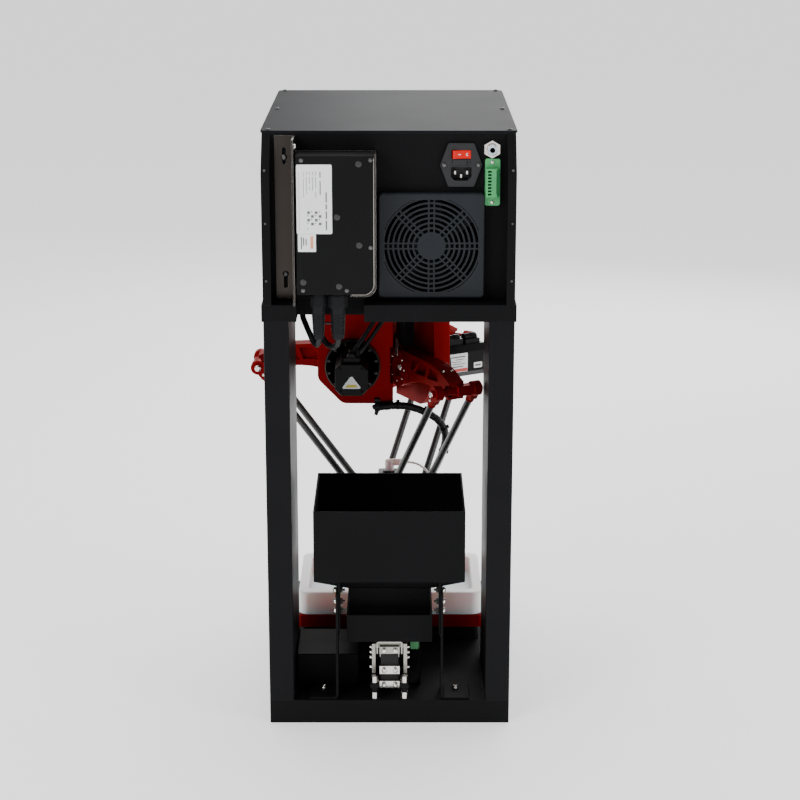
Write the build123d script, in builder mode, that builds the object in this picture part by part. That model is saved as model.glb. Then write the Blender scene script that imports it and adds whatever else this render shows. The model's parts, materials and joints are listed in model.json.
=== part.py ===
from build123d import *
from math import atan2, cos, degrees, hypot, pi, radians, sin, tan
import os

# Desktop delta pick-and-place cell.  Millimetres, +Z up, +Y towards the open working side.
# Origin: centre of the underside of the base.

# ---- cabinet -------------------------------------------------------------------------
sheet = 2.0
depth = 420.0
base_w, base_h = 296.0, 30.0
column_w, column_d = 30.0, 155.0
deck_w, deck_z, deck_h = 300.0, 511.0, 20.0
housing_z, lid_z, lid_t = deck_z + deck_h, 729.0, 3.0
back_y = -depth / 2
panel_y = -180.0
flange_w, slope_z = 8.0, 686.0
notch_x0, notch_x1, notch_y = -109.0, -29.0, -172.0
panel_hole_r = 56.0

# ---- rear panel fittings -------------------------------------------------------------
fan_x, fan_z, guard_w, guard_t = 49.8, 598.0, 124.5, 12.0
inlet_x, inlet_z = 84.3, 692.4
air_x, air_z = 120.2, 711.0
terminal_x, terminal_z, terminal_w, terminal_h = 121.0, 672.5, 17.6, 55.0
way_pitch, ways = 3.81, 8
case_x0, case_x1, case_z0, case_z1 = -107.0, -14.7, 546.0, 709.0
case_front, case_back = -222.0, -182.5
plug_x = (-83.0, -60.0)
plug_y, plug_end_z, cable_r = -205.0, 490.0, 3.5

# ---- delta robot ---------------------------------------------------------------------
robot_x, robot_y = -2.0, 60.0
arm_angles = {"a": 180.0, "b": 300.0, "c": 60.0}
axis_r, axis_z = 46.5, 398.0
arm_len, arm_droop = 123.5, 2.0
arm_half_w, hub_r, elbow_r = 14.0, 24.5, 11.0
rod_half_gap, rod_r = 28.0, 4.5
lower_r, lower_z = 35.0, 210.0
pin_r, pin_clear, open_clear = 3.0, 0.05, 1.8
plate_in, plate_out, plate_z0 = -6.0, 92.0, 347.0
plate_w0, plate_t = 15.0, 23.0
disc_r, disc_t, servo_w, servo_len = 36.0, 8.0, 42.0, 66.0

# ---- part feeder ---------------------------------------------------------------------
hopper_half_w, hopper_y0, hopper_y1 = 92.3, -205.0, -48.0
hopper_rim, hopper_low, funnel_z = 274.0, 184.0, 160.5
leg_x, leg_y0, leg_y1, leg_top, lug_y0, lug_z0 = 64.6, -207.0, -165.0, 167.0, -200.0, 112.0
trough_half_w, trough_y0, trough_y1, trough_z0, trough_z1 = 53.0, -190.0, -4.0, 99.5, 134.5
tray_half_w, tray_y0, tray_y1, tray_z0, tray_z1 = 121.0, -15.0, 140.0, 66.0, 98.0
frame_z0 = 49.5

os.makedirs("parts", exist_ok=True)


def keep(builder, name):
    """Label a finished piece and write its STEP file."""
    builder.part.label = name
    export_step(builder.part, f"parts/{name}.step")


def rear_plane(y):
    """Plane facing the rear (-Y) at the given Y: local x is world X, local y is world Z."""
    return Plane(origin=(0, y, 0), x_dir=(1, 0, 0), z_dir=(0, -1, 0))


def arm_plane(angle, droop=0.0):
    """Plane of one arm, from its motor axis: local x outward, local y up, normal away from the motor."""
    a, d = radians(angle), radians(droop)
    origin = (robot_x + axis_r * cos(a), robot_y + axis_r * sin(a), axis_z)
    outward = (cos(a) * cos(d), sin(a) * cos(d), -sin(d))
    return Plane(origin=origin, x_dir=outward, z_dir=(sin(a), -cos(a), 0))


def spoke_plane(angle):
    """Vertical plane through the robot's centre line along one arm: local x outward, local y is Z."""
    a = radians(angle)
    return Plane(origin=(robot_x, robot_y, 0), x_dir=(cos(a), sin(a), 0), z_dir=(sin(a), -cos(a), 0))


# ======================================================================================
# Cabinet
# ======================================================================================
with BuildPart() as base_pan:
    with BuildSketch():
        RectangleRounded(base_w, depth, 2)
    extrude(amount=base_h)
    with BuildSketch():
        Rectangle(base_w - 2 * sheet, depth - 2 * sheet)
    extrude(amount=base_h - sheet, mode=Mode.SUBTRACT)
    with BuildSketch():
        Rectangle(base_w - 2 * sheet, depth - 2 * sheet)
        Rectangle(base_w - 36, depth - 36, mode=Mode.SUBTRACT)
    extrude(amount=sheet)
    with BuildSketch():
        with GridLocations(base_w - 20, depth - 20, 2, 2):
            Circle(3.3)
    extrude(amount=sheet, mode=Mode.SUBTRACT)
keep(base_pan, "base_pan")

column_x = base_w / 2 - column_w / 2
for column_name, side in (("column_left", -1), ("column_right", 1)):
    with BuildPart() as column:
        with BuildSketch(Plane.XY.offset(base_h)):
            with Locations((side * column_x, back_y + column_d / 2)):
                RectangleRounded(column_w, column_d, 2)
                Rectangle(column_w - 2 * sheet, column_d - 2 * sheet, mode=Mode.SUBTRACT)
        extrude(amount=deck_z - base_h)
    keep(column, column_name)

with BuildPart() as deck:
    with BuildSketch(Plane.XY.offset(deck_z)) as deck_outline:
        Rectangle(deck_w, depth)
        with Locations(((notch_x0 + notch_x1) / 2, (back_y + notch_y) / 2)):
            Rectangle(notch_x1 - notch_x0, notch_y - back_y, mode=Mode.SUBTRACT)
    extrude(amount=deck_h)
    with BuildSketch(Plane.XY.offset(deck_z)):
        add(deck_outline.sketch)
        offset(amount=-sheet, kind=Kind.INTERSECTION, mode=Mode.REPLACE)
    extrude(amount=deck_h - sheet, mode=Mode.SUBTRACT)
    with BuildSketch(Plane.XY.offset(deck_z)):
        with Locations((robot_x, robot_y)):
            Circle(22)
    extrude(amount=deck_h, mode=Mode.SUBTRACT)
keep(deck, "deck")

mount_plate_y0, mount_plate_y1, mount_plate_t = -160.0, 200.0, 16.0
with BuildPart() as robot_mount_plate:
    with BuildSketch(Plane.XY.offset(deck_z)):
        with Locations((0, (mount_plate_y0 + mount_plate_y1) / 2)):
            RectangleRounded(280, mount_plate_y1 - mount_plate_y0, 6)
        with Locations((robot_x, robot_y)):
            Circle(14, mode=Mode.SUBTRACT)
    extrude(amount=mount_plate_t)
keep(robot_mount_plate, "robot_mount_plate")

# Housing: floor, two side cheeks that run past the rear panel, front wall, and rear flanges.
side_points = [(back_y, housing_z), (depth / 2, housing_z), (depth / 2, lid_z),
               (panel_y, lid_z), (back_y, slope_z)]
inner_w = base_w / 2 - sheet
with BuildPart() as housing:
    with BuildSketch(Plane.YZ.offset(-base_w / 2)):
        Polygon(*side_points, align=None)
    extrude(amount=base_w)
    with BuildSketch(Plane.YZ.offset(-inner_w)):
        with Locations(((panel_y + depth / 2 - sheet) / 2, (housing_z + sheet + lid_z + 1) / 2)):
            Rectangle(depth / 2 - sheet - panel_y, lid_z + 1 - housing_z - sheet)
    extrude(amount=2 * inner_w, mode=Mode.SUBTRACT)
    with BuildSketch(Plane.YZ.offset(-inner_w)):
        Polygon((back_y + sheet, housing_z - 1), (panel_y + 1, housing_z - 1), (panel_y + 1, lid_z + 1),
                (panel_y, lid_z - 2), (back_y + sheet, slope_z - 1), align=None)
    extrude(amount=2 * inner_w, mode=Mode.SUBTRACT)
    with BuildSketch(Plane.YZ.offset(-inner_w + flange_w)):
        Polygon((back_y - 1, housing_z - 1), (panel_y, housing_z - 1), (panel_y, lid_z + 1),
                (panel_y - 1, lid_z + 1), (back_y - 1, slope_z + 1), align=None)
    extrude(amount=2 * (inner_w - flange_w), mode=Mode.SUBTRACT)
    with BuildSketch(Plane.XY.offset(housing_z)):
        with Locations((robot_x, robot_y)):
            Circle(22)
    extrude(amount=sheet, mode=Mode.SUBTRACT)
keep(housing, "housing")

inlet_cut_w, inlet_cut_h = 28.0, 47.0
with BuildPart() as rear_panel:
    with BuildSketch(rear_plane(panel_y + sheet)):
        with Locations((0, (housing_z + sheet + lid_z) / 2)):
            Rectangle(2 * inner_w - 0.4, lid_z - housing_z - sheet)
        with Locations((fan_x, fan_z)):
            Circle(panel_hole_r, mode=Mode.SUBTRACT)
        with Locations((inlet_x, inlet_z)):
            Rectangle(inlet_cut_w, inlet_cut_h, mode=Mode.SUBTRACT)
        with Locations((air_x, air_z)):
            Circle(6, mode=Mode.SUBTRACT)
        with Locations((terminal_x, terminal_z)):
            Rectangle(10, 40, mode=Mode.SUBTRACT)
    extrude(amount=sheet)
keep(rear_panel, "rear_panel")

lid_screw_x, lid_screw_y = deck_w / 2 - 9, (panel_y + 9, 15.0, depth / 2 - 9)
with BuildPart() as lid:
    with BuildSketch(Plane.XY.offset(lid_z)):
        with Locations((0, (panel_y + depth / 2) / 2)):
            RectangleRounded(deck_w, depth / 2 - panel_y, 9)
    extrude(amount=lid_t)
    fillet(lid.edges().group_by(Axis.Z)[-1], 0.8)
keep(lid, "lid")

# ======================================================================================
# Cooling fan behind its guard
# ======================================================================================
guard_open_r, ring_pitch, ring_w, hub_disc_r, ring_t = 54.5, 5.9, 2.2, 15.5, 3.0
grille_y = panel_y - guard_t + ring_t + 1
with BuildPart() as fan_guard:
    with BuildSketch(rear_plane(panel_y)):
        with Locations((fan_x, fan_z)):
            RectangleRounded(guard_w, guard_w, 5)
    extrude(amount=guard_t)
    fillet(fan_guard.faces().sort_by(Axis.Y)[0].edges(), 2.0)
    with BuildSketch(rear_plane(panel_y)) as opening:
        with Locations((fan_x, fan_z)):
            Circle(guard_open_r + 4)
            Rectangle(2 * guard_open_r + 1, 2 * guard_open_r + 1, mode=Mode.INTERSECT)
    extrude(amount=guard_t, mode=Mode.SUBTRACT)
    for ring in range(8):
        ring_r = hub_disc_r + ring * ring_pitch
        with BuildSketch(rear_plane(grille_y)):
            with Locations((fan_x, fan_z)):
                Circle(ring_r + ring_w / 2)
                if ring:
                    Circle(ring_r - ring_w / 2, mode=Mode.SUBTRACT)
                Rectangle(guard_w - 6, guard_w - 6, mode=Mode.INTERSECT)
        extrude(amount=ring_t)
    with BuildSketch(rear_plane(grille_y)):
        for turn in range(4):
            with Locations(Location((fan_x, fan_z), 45 * turn)):
                for rib_side in (-3.2, 3.2):
                    with Locations((0, rib_side)):
                        Rectangle(2 * guard_open_r + 3, 1.8)
    extrude(amount=ring_t)
keep(fan_guard, "fan_guard")

fan_t, fan_hub_r, blade_r, blades = 38.0, 21.0, 55.0, 7
fan_y0 = panel_y + sheet
with BuildPart() as fan_frame:
    with BuildSketch(rear_plane(fan_y0 + fan_t)):
        with Locations((fan_x, fan_z)):
            RectangleRounded(119, 119, 5)
            Circle(57.5, mode=Mode.SUBTRACT)
    extrude(amount=fan_t)
    with BuildSketch(rear_plane(fan_y0 + fan_t)):
        with Locations((fan_x, fan_z)):
            Circle(fan_hub_r)
            Rectangle(118, 6)
            Rectangle(6, 118)
    extrude(amount=4)
keep(fan_frame, "fan_frame")

with BuildPart() as fan_rotor:
    with BuildSketch(rear_plane(fan_y0 + fan_t - 6)):
        with Locations((fan_x, fan_z)):
            Circle(fan_hub_r)
    extrude(amount=fan_t - 10)
    fillet(fan_rotor.faces().sort_by(Axis.Y)[0].edges(), 2)
    for blade in range(blades):
        turn = radians(360 * blade / blades)
        root = Plane(origin=(fan_x + 18 * sin(turn), fan_y0 + fan_t / 2, fan_z + 18 * cos(turn)),
                     x_dir=(cos(turn) * cos(0.7), -sin(0.7), -sin(turn) * cos(0.7)),
                     z_dir=(sin(turn), 0, cos(turn)))
        with BuildSketch(root):
            Rectangle(30, 2)
        extrude(amount=blade_r - 18)
keep(fan_rotor, "fan_rotor")

# ======================================================================================
# Mains inlet with rocker and fuse drawer, air port, terminal block
# ======================================================================================
inlet_t, rocker_w, rocker_h, rocker_dz = 3.5, 22.0, 9.6, 12.4
drawer_w, drawer_h, drawer_dz, drawer_deep = 20.0, 6.4, 3.2, 24.0
socket_dz, socket_deep = -10.4, 16.0
hexagon = [(-24.5, 0), (-15, 25.5), (15, 25.5), (24.5, 0), (15, -25.5), (-15, -25.5)]
with BuildPart() as inlet_body:
    with BuildSketch(rear_plane(panel_y)):
        with Locations((inlet_x, inlet_z)):
            Polygon(*hexagon, align=None)
    extrude(amount=inlet_t)
    fillet(inlet_body.edges().filter_by(Axis.Y), 3)
    with BuildSketch(rear_plane(panel_y)):
        with Locations((inlet_x, inlet_z)):
            RectangleRounded(inlet_cut_w - 0.6, inlet_cut_h - 0.6, 1.5)
    extrude(amount=-30)
    with BuildSketch(rear_plane(panel_y - inlet_t)):
        with Locations((inlet_x, inlet_z + rocker_dz)):
            Rectangle(rocker_w + 0.6, rocker_h + 0.6)
    extrude(amount=-16, mode=Mode.SUBTRACT)
    with BuildSketch(rear_plane(panel_y - inlet_t)):
        with Locations((inlet_x, inlet_z + drawer_dz)):
            Rectangle(drawer_w + 0.4, drawer_h + 0.4)
    extrude(amount=-drawer_deep - 4, mode=Mode.SUBTRACT)
    with BuildSketch(rear_plane(panel_y - inlet_t)):
        with Locations((inlet_x, inlet_z + socket_dz)):
            Polygon((-12, 8), (12, 8), (12, -3.5), (7.5, -8), (-7.5, -8), (-12, -3.5), align=None)
    extrude(amount=-socket_deep, mode=Mode.SUBTRACT)
    with BuildSketch(rear_plane(panel_y - inlet_t)):
        with Locations((inlet_x - 20, inlet_z), (inlet_x + 20, inlet_z)):
            Circle(1.7)
    extrude(amount=-inlet_t, mode=Mode.SUBTRACT)
keep(inlet_body, "inlet_body")

pin_floor_y = panel_y - inlet_t + socket_deep
with BuildPart() as inlet_pins:
    with BuildSketch(rear_plane(pin_floor_y)):
        with Locations((inlet_x - 7, inlet_z + socket_dz + 1), (inlet_x + 7, inlet_z + socket_dz + 1)):
            RectangleRounded(2, 4, 0.6)
        with Locations((inlet_x, inlet_z + socket_dz - 3)):
            RectangleRounded(2, 4, 0.6)
    extrude(amount=12)
keep(inlet_pins, "inlet_pins")

rocker_y = panel_y - inlet_t + 2.0
rocker_tilt, pivot_proud = 9.0, 0.2
with BuildPart() as rocker:
    with BuildSketch(Plane(origin=(inlet_x, rocker_y, inlet_z + rocker_dz - rocker_h / 2),
                           x_dir=(cos(radians(rocker_tilt)), sin(radians(rocker_tilt)), 0))):
        with BuildLine():
            Polyline((10.6, 0), (7, 5), (-7, 5), (-10.6, 0), (-10.6, -4.4))
            ThreePointArc((-10.6, -4.4), (0, -2.4), (10.6, -4.4))
            Line((10.6, -4.4), (10.6, 0))
        make_face()
    extrude(amount=rocker_h)
    with BuildSketch(Plane(origin=(inlet_x, rocker_y, inlet_z + rocker_dz - rocker_h / 2 - pivot_proud))):
        Circle(1.5)
    extrude(amount=rocker_h + 2 * pivot_proud)
keep(rocker, "rocker")

with BuildPart() as fuse_drawer:
    with BuildSketch(rear_plane(panel_y - inlet_t)):
        with Locations((inlet_x, inlet_z + drawer_dz)):
            Rectangle(drawer_w, drawer_h)
    extrude(amount=-drawer_deep)
    with BuildSketch(rear_plane(panel_y - inlet_t)):
        with Locations((inlet_x, inlet_z + drawer_dz)):
            RectangleRounded(drawer_w, drawer_h, 0.8)
    extrude(amount=0.8)
    with BuildSketch(rear_plane(panel_y - inlet_t - 0.8)):
        with Locations((inlet_x + 7, inlet_z + drawer_dz)):
            Rectangle(1.2, drawer_h - 1.6)
    extrude(amount=-2, mode=Mode.SUBTRACT)
keep(fuse_drawer, "fuse_drawer")

air_bore_r = 3.0
with BuildPart() as air_fitting:
    with BuildSketch(rear_plane(panel_y)):
        with Locations((air_x, air_z)):
            RegularPolygon(9.0, 6, major_radius=False, rotation=30)
    extrude(amount=6)
    with BuildSketch(rear_plane(panel_y)):
        with Locations((air_x, air_z)):
            Circle(5.9)
    extrude(amount=-14)
    with BuildSketch(rear_plane(panel_y - 6)):
        with Locations((air_x, air_z)):
            Circle(6.5)
    extrude(amount=7)
    fillet(air_fitting.faces().sort_by(Axis.Y)[0].edges(), 1.2)
    with BuildSketch(rear_plane(panel_y - 13)):
        with Locations((air_x, air_z)):
            Circle(air_bore_r)
    extrude(amount=-22, mode=Mode.SUBTRACT)
keep(air_fitting, "air_fitting")

with BuildPart() as terminal_block:
    with BuildSketch(rear_plane(panel_y)):
        with Locations((terminal_x, terminal_z)):
            RectangleRounded(terminal_w, terminal_h, 2.5)
    extrude(amount=5)
    with BuildSketch(rear_plane(panel_y - 5)):
        with Locations((terminal_x, terminal_z)):
            Rectangle(terminal_w - 2, ways * way_pitch + 3)
    extrude(amount=7)
    chamfer(terminal_block.faces().sort_by(Axis.Y)[0].edges().sort_by(Axis.X)[-1], 3)
    with BuildSketch(rear_plane(panel_y)):
        with Locations((terminal_x, terminal_z)):
            Rectangle(9.6, 39.6)
    extrude(amount=-12)
    with BuildSketch(rear_plane(panel_y - 12)):
        with Locations((terminal_x - 3.6, terminal_z)):
            with GridLocations(1, way_pitch, 1, ways):
                Rectangle(4.2, 2.3)
    extrude(amount=-8, mode=Mode.SUBTRACT)
keep(terminal_block, "terminal_block")

# ======================================================================================
# Controller on its stainless carrier, with its two plugged cables
# ======================================================================================
case_w, case_h = case_x1 - case_x0 - 2.4, case_z1 - case_z0
case_cx, case_cz = case_x0 + case_w / 2, (case_z0 + case_z1) / 2
cover_t = 2.5
with BuildPart() as controller_case:
    with BuildSketch(rear_plane(case_back)) as case_outline:
        with Locations((case_cx, case_cz)):
            Rectangle(case_w, case_h)
        low_right = case_outline.vertices().sort_by(Axis.X)[-2:].sort_by(Axis.Y)[0]
        fillet(low_right, 12)
    extrude(amount=case_back - case_front - cover_t)
    with BuildSketch(rear_plane(case_back - 3)):
        add(case_outline.sketch_local)
        offset(amount=-2.5, mode=Mode.REPLACE)
    extrude(amount=case_back - case_front - cover_t - 3, mode=Mode.SUBTRACT)
keep(controller_case, "controller_case")

with BuildPart() as controller_cover:
    with BuildSketch(rear_plane(case_front + cover_t)):
        add(case_outline.sketch_local)
    extrude(amount=cover_t)
    fillet(controller_cover.faces().sort_by(Axis.Y)[0].edges(), 0.8)
keep(controller_cover, "controller_cover")

# Carrier: slotted flange on the left, standing web, back plate, right wall with a round lower corner.
flange_x0, web_x, wall_x = -133.3, -110.5, -14.7
carrier_z0, carrier_z1, carrier_t = 533.0, 727.0, 2.0
with BuildPart() as carrier_bracket:
    with BuildSketch(Plane.XY.offset(carrier_z0)):
        with Locations(((flange_x0 + web_x) / 2, panel_y - carrier_t / 2)):
            Rectangle(web_x - flange_x0, carrier_t)
    extrude(amount=carrier_z1 - carrier_z0)
    with BuildSketch(Plane.XY.offset(carrier_z0)):
        with Locations((web_x, (case_front + panel_y) / 2)):
            Rectangle(carrier_t, panel_y - case_front)
    extrude(amount=carrier_z1 - carrier_z0)
    with BuildSketch(rear_plane(panel_y)):
        with Locations(((web_x + wall_x) / 2, (case_z0 + case_z1) / 2)):
            Rectangle(wall_x - web_x, case_h)
    extrude(amount=carrier_t)
    with BuildSketch(rear_plane(panel_y)):
        with BuildLine():
            FilletPolyline((wall_x - 1, case_z1 + 1), (wall_x - 1, case_z0 - 1), (-44, case_z0 - 1),
                           radius=11)
            offset(amount=1, side=Side.BOTH)
        make_face()
    extrude(amount=panel_y - case_front)
    with BuildSketch(rear_plane(panel_y - carrier_t)):
        with Locations((-122, 703), (-122, 555.5)):
            SlotOverall(20, 4.6, rotation=90)
    extrude(amount=-carrier_t, mode=Mode.SUBTRACT)
keep(carrier_bracket, "carrier_bracket")

with BuildPart() as cable_connectors:
    for x, shell_r, nut_r in ((plug_x[0], 8.2, 8.8), (plug_x[1], 9.2, 11.0)):
        with BuildSketch(Plane.XY.offset(case_z0)):
            with Locations((x, plug_y)):
                Circle(shell_r)
        extrude(amount=-14)
        with BuildSketch(Plane.XY.offset(case_z0 - 3)):
            with Locations((x, plug_y)):
                Circle(nut_r)
        extrude(amount=-15)
        with BuildSketch(Plane.XY.offset(case_z0 - 14)):
            with Locations((x, plug_y)):
                Circle(shell_r)
        extrude(amount=plug_end_z - case_z0 + 14, taper=3.0)
keep(cable_connectors, "cable_connectors")


def cord(route, section_r, shrink=0.45):
    """Tube of straight runs joined by tangent arcs; reports its radii and checks its volume."""
    points = [Vector(*p) for p in route]
    runs = [(b - a).length for a, b in zip(points, points[1:])]
    radii = []
    for i in range(1, len(points) - 1):
        turn = (points[i] - points[i - 1]).get_angle(points[i + 1] - points[i])
        radii.append(shrink * min(runs[i - 1], runs[i]) / tan(radians(turn) / 2))
    with BuildPart() as tube:
        with BuildLine() as path:
            FilletPolyline(*points, radius=radii)
        with BuildSketch(Plane(origin=points[0], z_dir=points[1] - points[0])):
            Circle(section_r)
        sweep()
    length = sum(edge.length for edge in path.edges())
    volume_ratio = tube.part.volume / (pi * section_r ** 2 * length)
    print("cord", round(length, 1), "mm, radii", [round(r, 1) for r in radii],
          "volume ratio", round(volume_ratio, 3))
    return tube.part


data_cable = [(plug_x[0], plug_y, plug_end_z), (plug_x[0], plug_y, 485), (-85.5, -201, 481),
              (-89, -195, 482), (-93, -188, 488.5), (-97.5, -178, 496), (-101.5, -166, 502),
              (-104, -156, 504.5), (-104, -156, deck_z)]
power_cable = [(plug_x[1], plug_y, plug_end_z), (plug_x[1], plug_y, 484.5), (-63.5, -200, 478.5),
               (-71, -191, 477), (-79, -181, 483), (-83.5, -170, 491), (-87.5, -157.5, 498.5),
               (-90, -147, 504), (-90, -147, deck_z)]
controller_cords = [cord(route, cable_r) for route in (data_cable, power_cable)]
with BuildPart() as controller_cables:
    add(controller_cords)
keep(controller_cables, "controller_cables")

# ======================================================================================
# Inside the housing: power supply and circuit boards
# ======================================================================================
floor_z = housing_z + sheet
with BuildPart() as power_supply:
    with BuildSketch(Plane.XY.offset(floor_z)):
        with Locations((-80, 60)):
            Rectangle(110, 215)
    extrude(amount=50)
    with BuildSketch(Plane.XY.offset(floor_z + 50)):
        with Locations((-80, 60)):
            with GridLocations(14, 30, 6, 6):
                SlotOverall(10, 3, rotation=90)
    extrude(amount=-2, mode=Mode.SUBTRACT)
keep(power_supply, "power_supply")

with BuildPart() as circuit_boards:
    for cx, cy, bw, bd, parts_on_board in ((75, 90, 120, 180, 6), (75, -50, 110, 60, 3)):
        with BuildSketch(Plane.XY.offset(floor_z)):
            with Locations((cx, cy)):
                with GridLocations(bw - 10, bd - 10, 2, 2):
                    Circle(3)
        extrude(amount=8)
        with BuildSketch(Plane.XY.offset(floor_z + 8)):
            with Locations((cx, cy)):
                RectangleRounded(bw, bd, 2)
        extrude(amount=1.6)
        with BuildSketch(Plane.XY.offset(floor_z + 9.6)):
            with Locations((cx, cy)):
                with GridLocations(bw / 3, bd / 3, 2, parts_on_board // 3):
                    Rectangle(22, 16)
        extrude(amount=14)
    with BuildSketch(rear_plane(case_back - 3)):
        with Locations((case_cx, case_cz)):
            RectangleRounded(case_w - 12, case_h - 12, 2)
    extrude(amount=1.6)
    with BuildSketch(rear_plane(case_back - 4.6)):
        with Locations((case_cx, case_cz)):
            with GridLocations(26, 36, 3, 4):
                Rectangle(14, 18)
    extrude(amount=8)
keep(circuit_boards, "circuit_boards")

# Screws: lid, inlet ears, controller cover, carrier slots, housing sides, hopper legs and their feet.
cover_screws = [(-100.5, 703.7), (-21, 704), (-21, 602), (-100, 551.3), (-49, 551.3)]
carrier_screws = [(-122, 701.5), (-122, 563)]
bolt_z, bolt_y = (166.0, 151.0, 139.0), -184.0
with BuildPart() as machine_screws:
    with BuildSketch(Plane.XY.offset(lid_z + lid_t)):
        with Locations(*[(s * lid_screw_x, y) for s in (-1, 1) for y in lid_screw_y]):
            Circle(3)
    extrude(amount=1.8)
    with BuildSketch(rear_plane(case_front)):
        with Locations(*cover_screws):
            Circle(2.6)
    extrude(amount=0.8)
    with BuildSketch(rear_plane(panel_y - carrier_t)):
        with Locations(*carrier_screws):
            Circle(3.6)
    extrude(amount=2.2)
    with BuildSketch(rear_plane(panel_y - inlet_t)):
        with Locations((inlet_x - 20, inlet_z), (inlet_x + 20, inlet_z)):
            Circle(3)
    extrude(amount=1.8)
    with BuildSketch(Plane.YZ.offset(base_w / 2)):
        with Locations(*[(y, z) for y in (panel_y + 12, 0, depth / 2 - 20) for z in (560, 700)]):
            Circle(2.8)
    extrude(amount=1.6)
    with BuildSketch(Plane.YZ.offset(-base_w / 2)):
        with Locations(*[(y, z) for y in (panel_y + 12, 0, depth / 2 - 20) for z in (560, 700)]):
            Circle(2.8)
    extrude(amount=-1.6)
    for side in (-1, 1):
        with BuildSketch(Plane.YZ.offset(side * (leg_x + 1.3))):
            with Locations(*[(bolt_y, z) for z in bolt_z]):
                Circle(3.6)
        extrude(amount=side * 3.6)
        with BuildSketch(Plane.YZ.offset(side * (leg_x - 3.8))):
            with Locations(*[(bolt_y, z) for z in bolt_z]):
                RegularPolygon(3.6, 6)
        extrude(amount=side * -6)
    with BuildSketch(Plane.XY.offset(base_h + 2.5)):
        with Locations(*[(s * 82, -178) for s in (-1, 1)]):
            Circle(4)
    extrude(amount=4)
keep(machine_screws, "machine_screws")

# ======================================================================================
# Delta robot: plates, reducers, servos
# ======================================================================================
plate_profile = [(plate_in, deck_z), (plate_in, plate_z0), (plate_out - 32, plate_z0),
                 (plate_out, plate_z0 + 33), (plate_out, deck_z)]
with BuildPart() as motor_plates:
    for angle in arm_angles.values():
        with BuildSketch(spoke_plane(angle).offset(-plate_w0 - plate_t)) as profile:
            Polygon(*plate_profile, align=None)
            low_corners = profile.vertices().filter_by_position(Axis.Y, plate_z0 - 1, plate_z0 + 34)
            fillet(low_corners.filter_by_position(Axis.X, plate_in + 1, plate_out + 1), 14)
        extrude(amount=plate_t)
    for angle in arm_angles.values():
        with BuildSketch(spoke_plane(angle).offset(-plate_w0 - plate_t)):
            with Locations((axis_r, axis_z)):
                Circle(20)
        extrude(amount=plate_t, mode=Mode.SUBTRACT)
        with BuildSketch(spoke_plane(angle).offset(-arm_half_w - 0.9)):
            with Locations((axis_r, axis_z)):
                Circle(hub_r + 2.5)
        extrude(amount=2 * arm_half_w + 4, mode=Mode.SUBTRACT)
keep(motor_plates, "motor_plates")

disc_w0 = plate_w0 + plate_t
with BuildPart() as reducers:
    for angle in arm_angles.values():
        with BuildSketch(spoke_plane(angle).offset(-disc_w0)):
            with Locations((axis_r, axis_z)):
                Circle(disc_r)
        extrude(amount=-disc_t)
        with BuildSketch(spoke_plane(angle).offset(-disc_w0)):
            with Locations((axis_r, axis_z)):
                Circle(19.7)
        extrude(amount=plate_t)
        with BuildSketch(spoke_plane(angle).offset(-disc_w0 - disc_t)):
            with Locations((axis_r, axis_z)):
                with PolarLocations(32, 12, start_angle=15):
                    Circle(2)
        extrude(amount=-1.4)
keep(reducers, "reducers")

servo_w0 = disc_w0 + disc_t
for name, angle in arm_angles.items():
    with BuildPart() as servo:
        with BuildSketch(spoke_plane(angle).offset(-servo_w0)):
            with Locations((axis_r, axis_z)):
                with BuildSketch(mode=Mode.PRIVATE) as square:
                    Rectangle(servo_w, servo_w)
                    chamfer(square.vertices(), 8)
                add(square.sketch)
        extrude(amount=-servo_len)
        chamfer(servo.faces().sort_by(Axis(origin=(0, 0, 0), direction=(-sin(radians(angle)),
                cos(radians(angle)), 0)))[-1].edges(), 1.5)
        with BuildSketch(spoke_plane(angle).offset(-servo_w0 - 8)):
            with Locations((axis_r, axis_z + servo_w / 2 + 2)):
                Rectangle(20, 12)
        extrude(amount=-26)
        with BuildSketch(spoke_plane(angle).offset(-servo_w0 - 38)):
            with Locations((axis_r, axis_z + servo_w / 2 + 1)):
                Rectangle(20, 10)
        extrude(amount=-22)
    keep(servo, f"servo_{name}")

# ======================================================================================
# Delta robot: arms, rods, platform
# ======================================================================================
elbow_point = (axis_r + arm_len * cos(radians(arm_droop)), axis_z - arm_len * sin(radians(arm_droop)))
rod_len = hypot(elbow_point[0] - lower_r, elbow_point[1] - lower_z)
rod_lean = degrees(atan2(elbow_point[0] - lower_r, elbow_point[1] - lower_z))
bar_half, ring_r, ring_half_w = 21.5, 9.5, 5.5
elbow_bar_w, elbow_bar_h = 12.0, 13.0
pin_end = rod_half_gap + ring_half_w + 0.6


def rod_plane(angle):
    """Plane of one rod pair from its elbow: local x runs down along the rods."""
    a, lean = radians(angle), radians(rod_lean)
    origin = (robot_x + elbow_point[0] * cos(a), robot_y + elbow_point[0] * sin(a), elbow_point[1])
    down = (-sin(lean) * cos(a), -sin(lean) * sin(a), -cos(lean))
    return Plane(origin=origin, x_dir=down, z_dir=(sin(a), -cos(a), 0))


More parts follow.
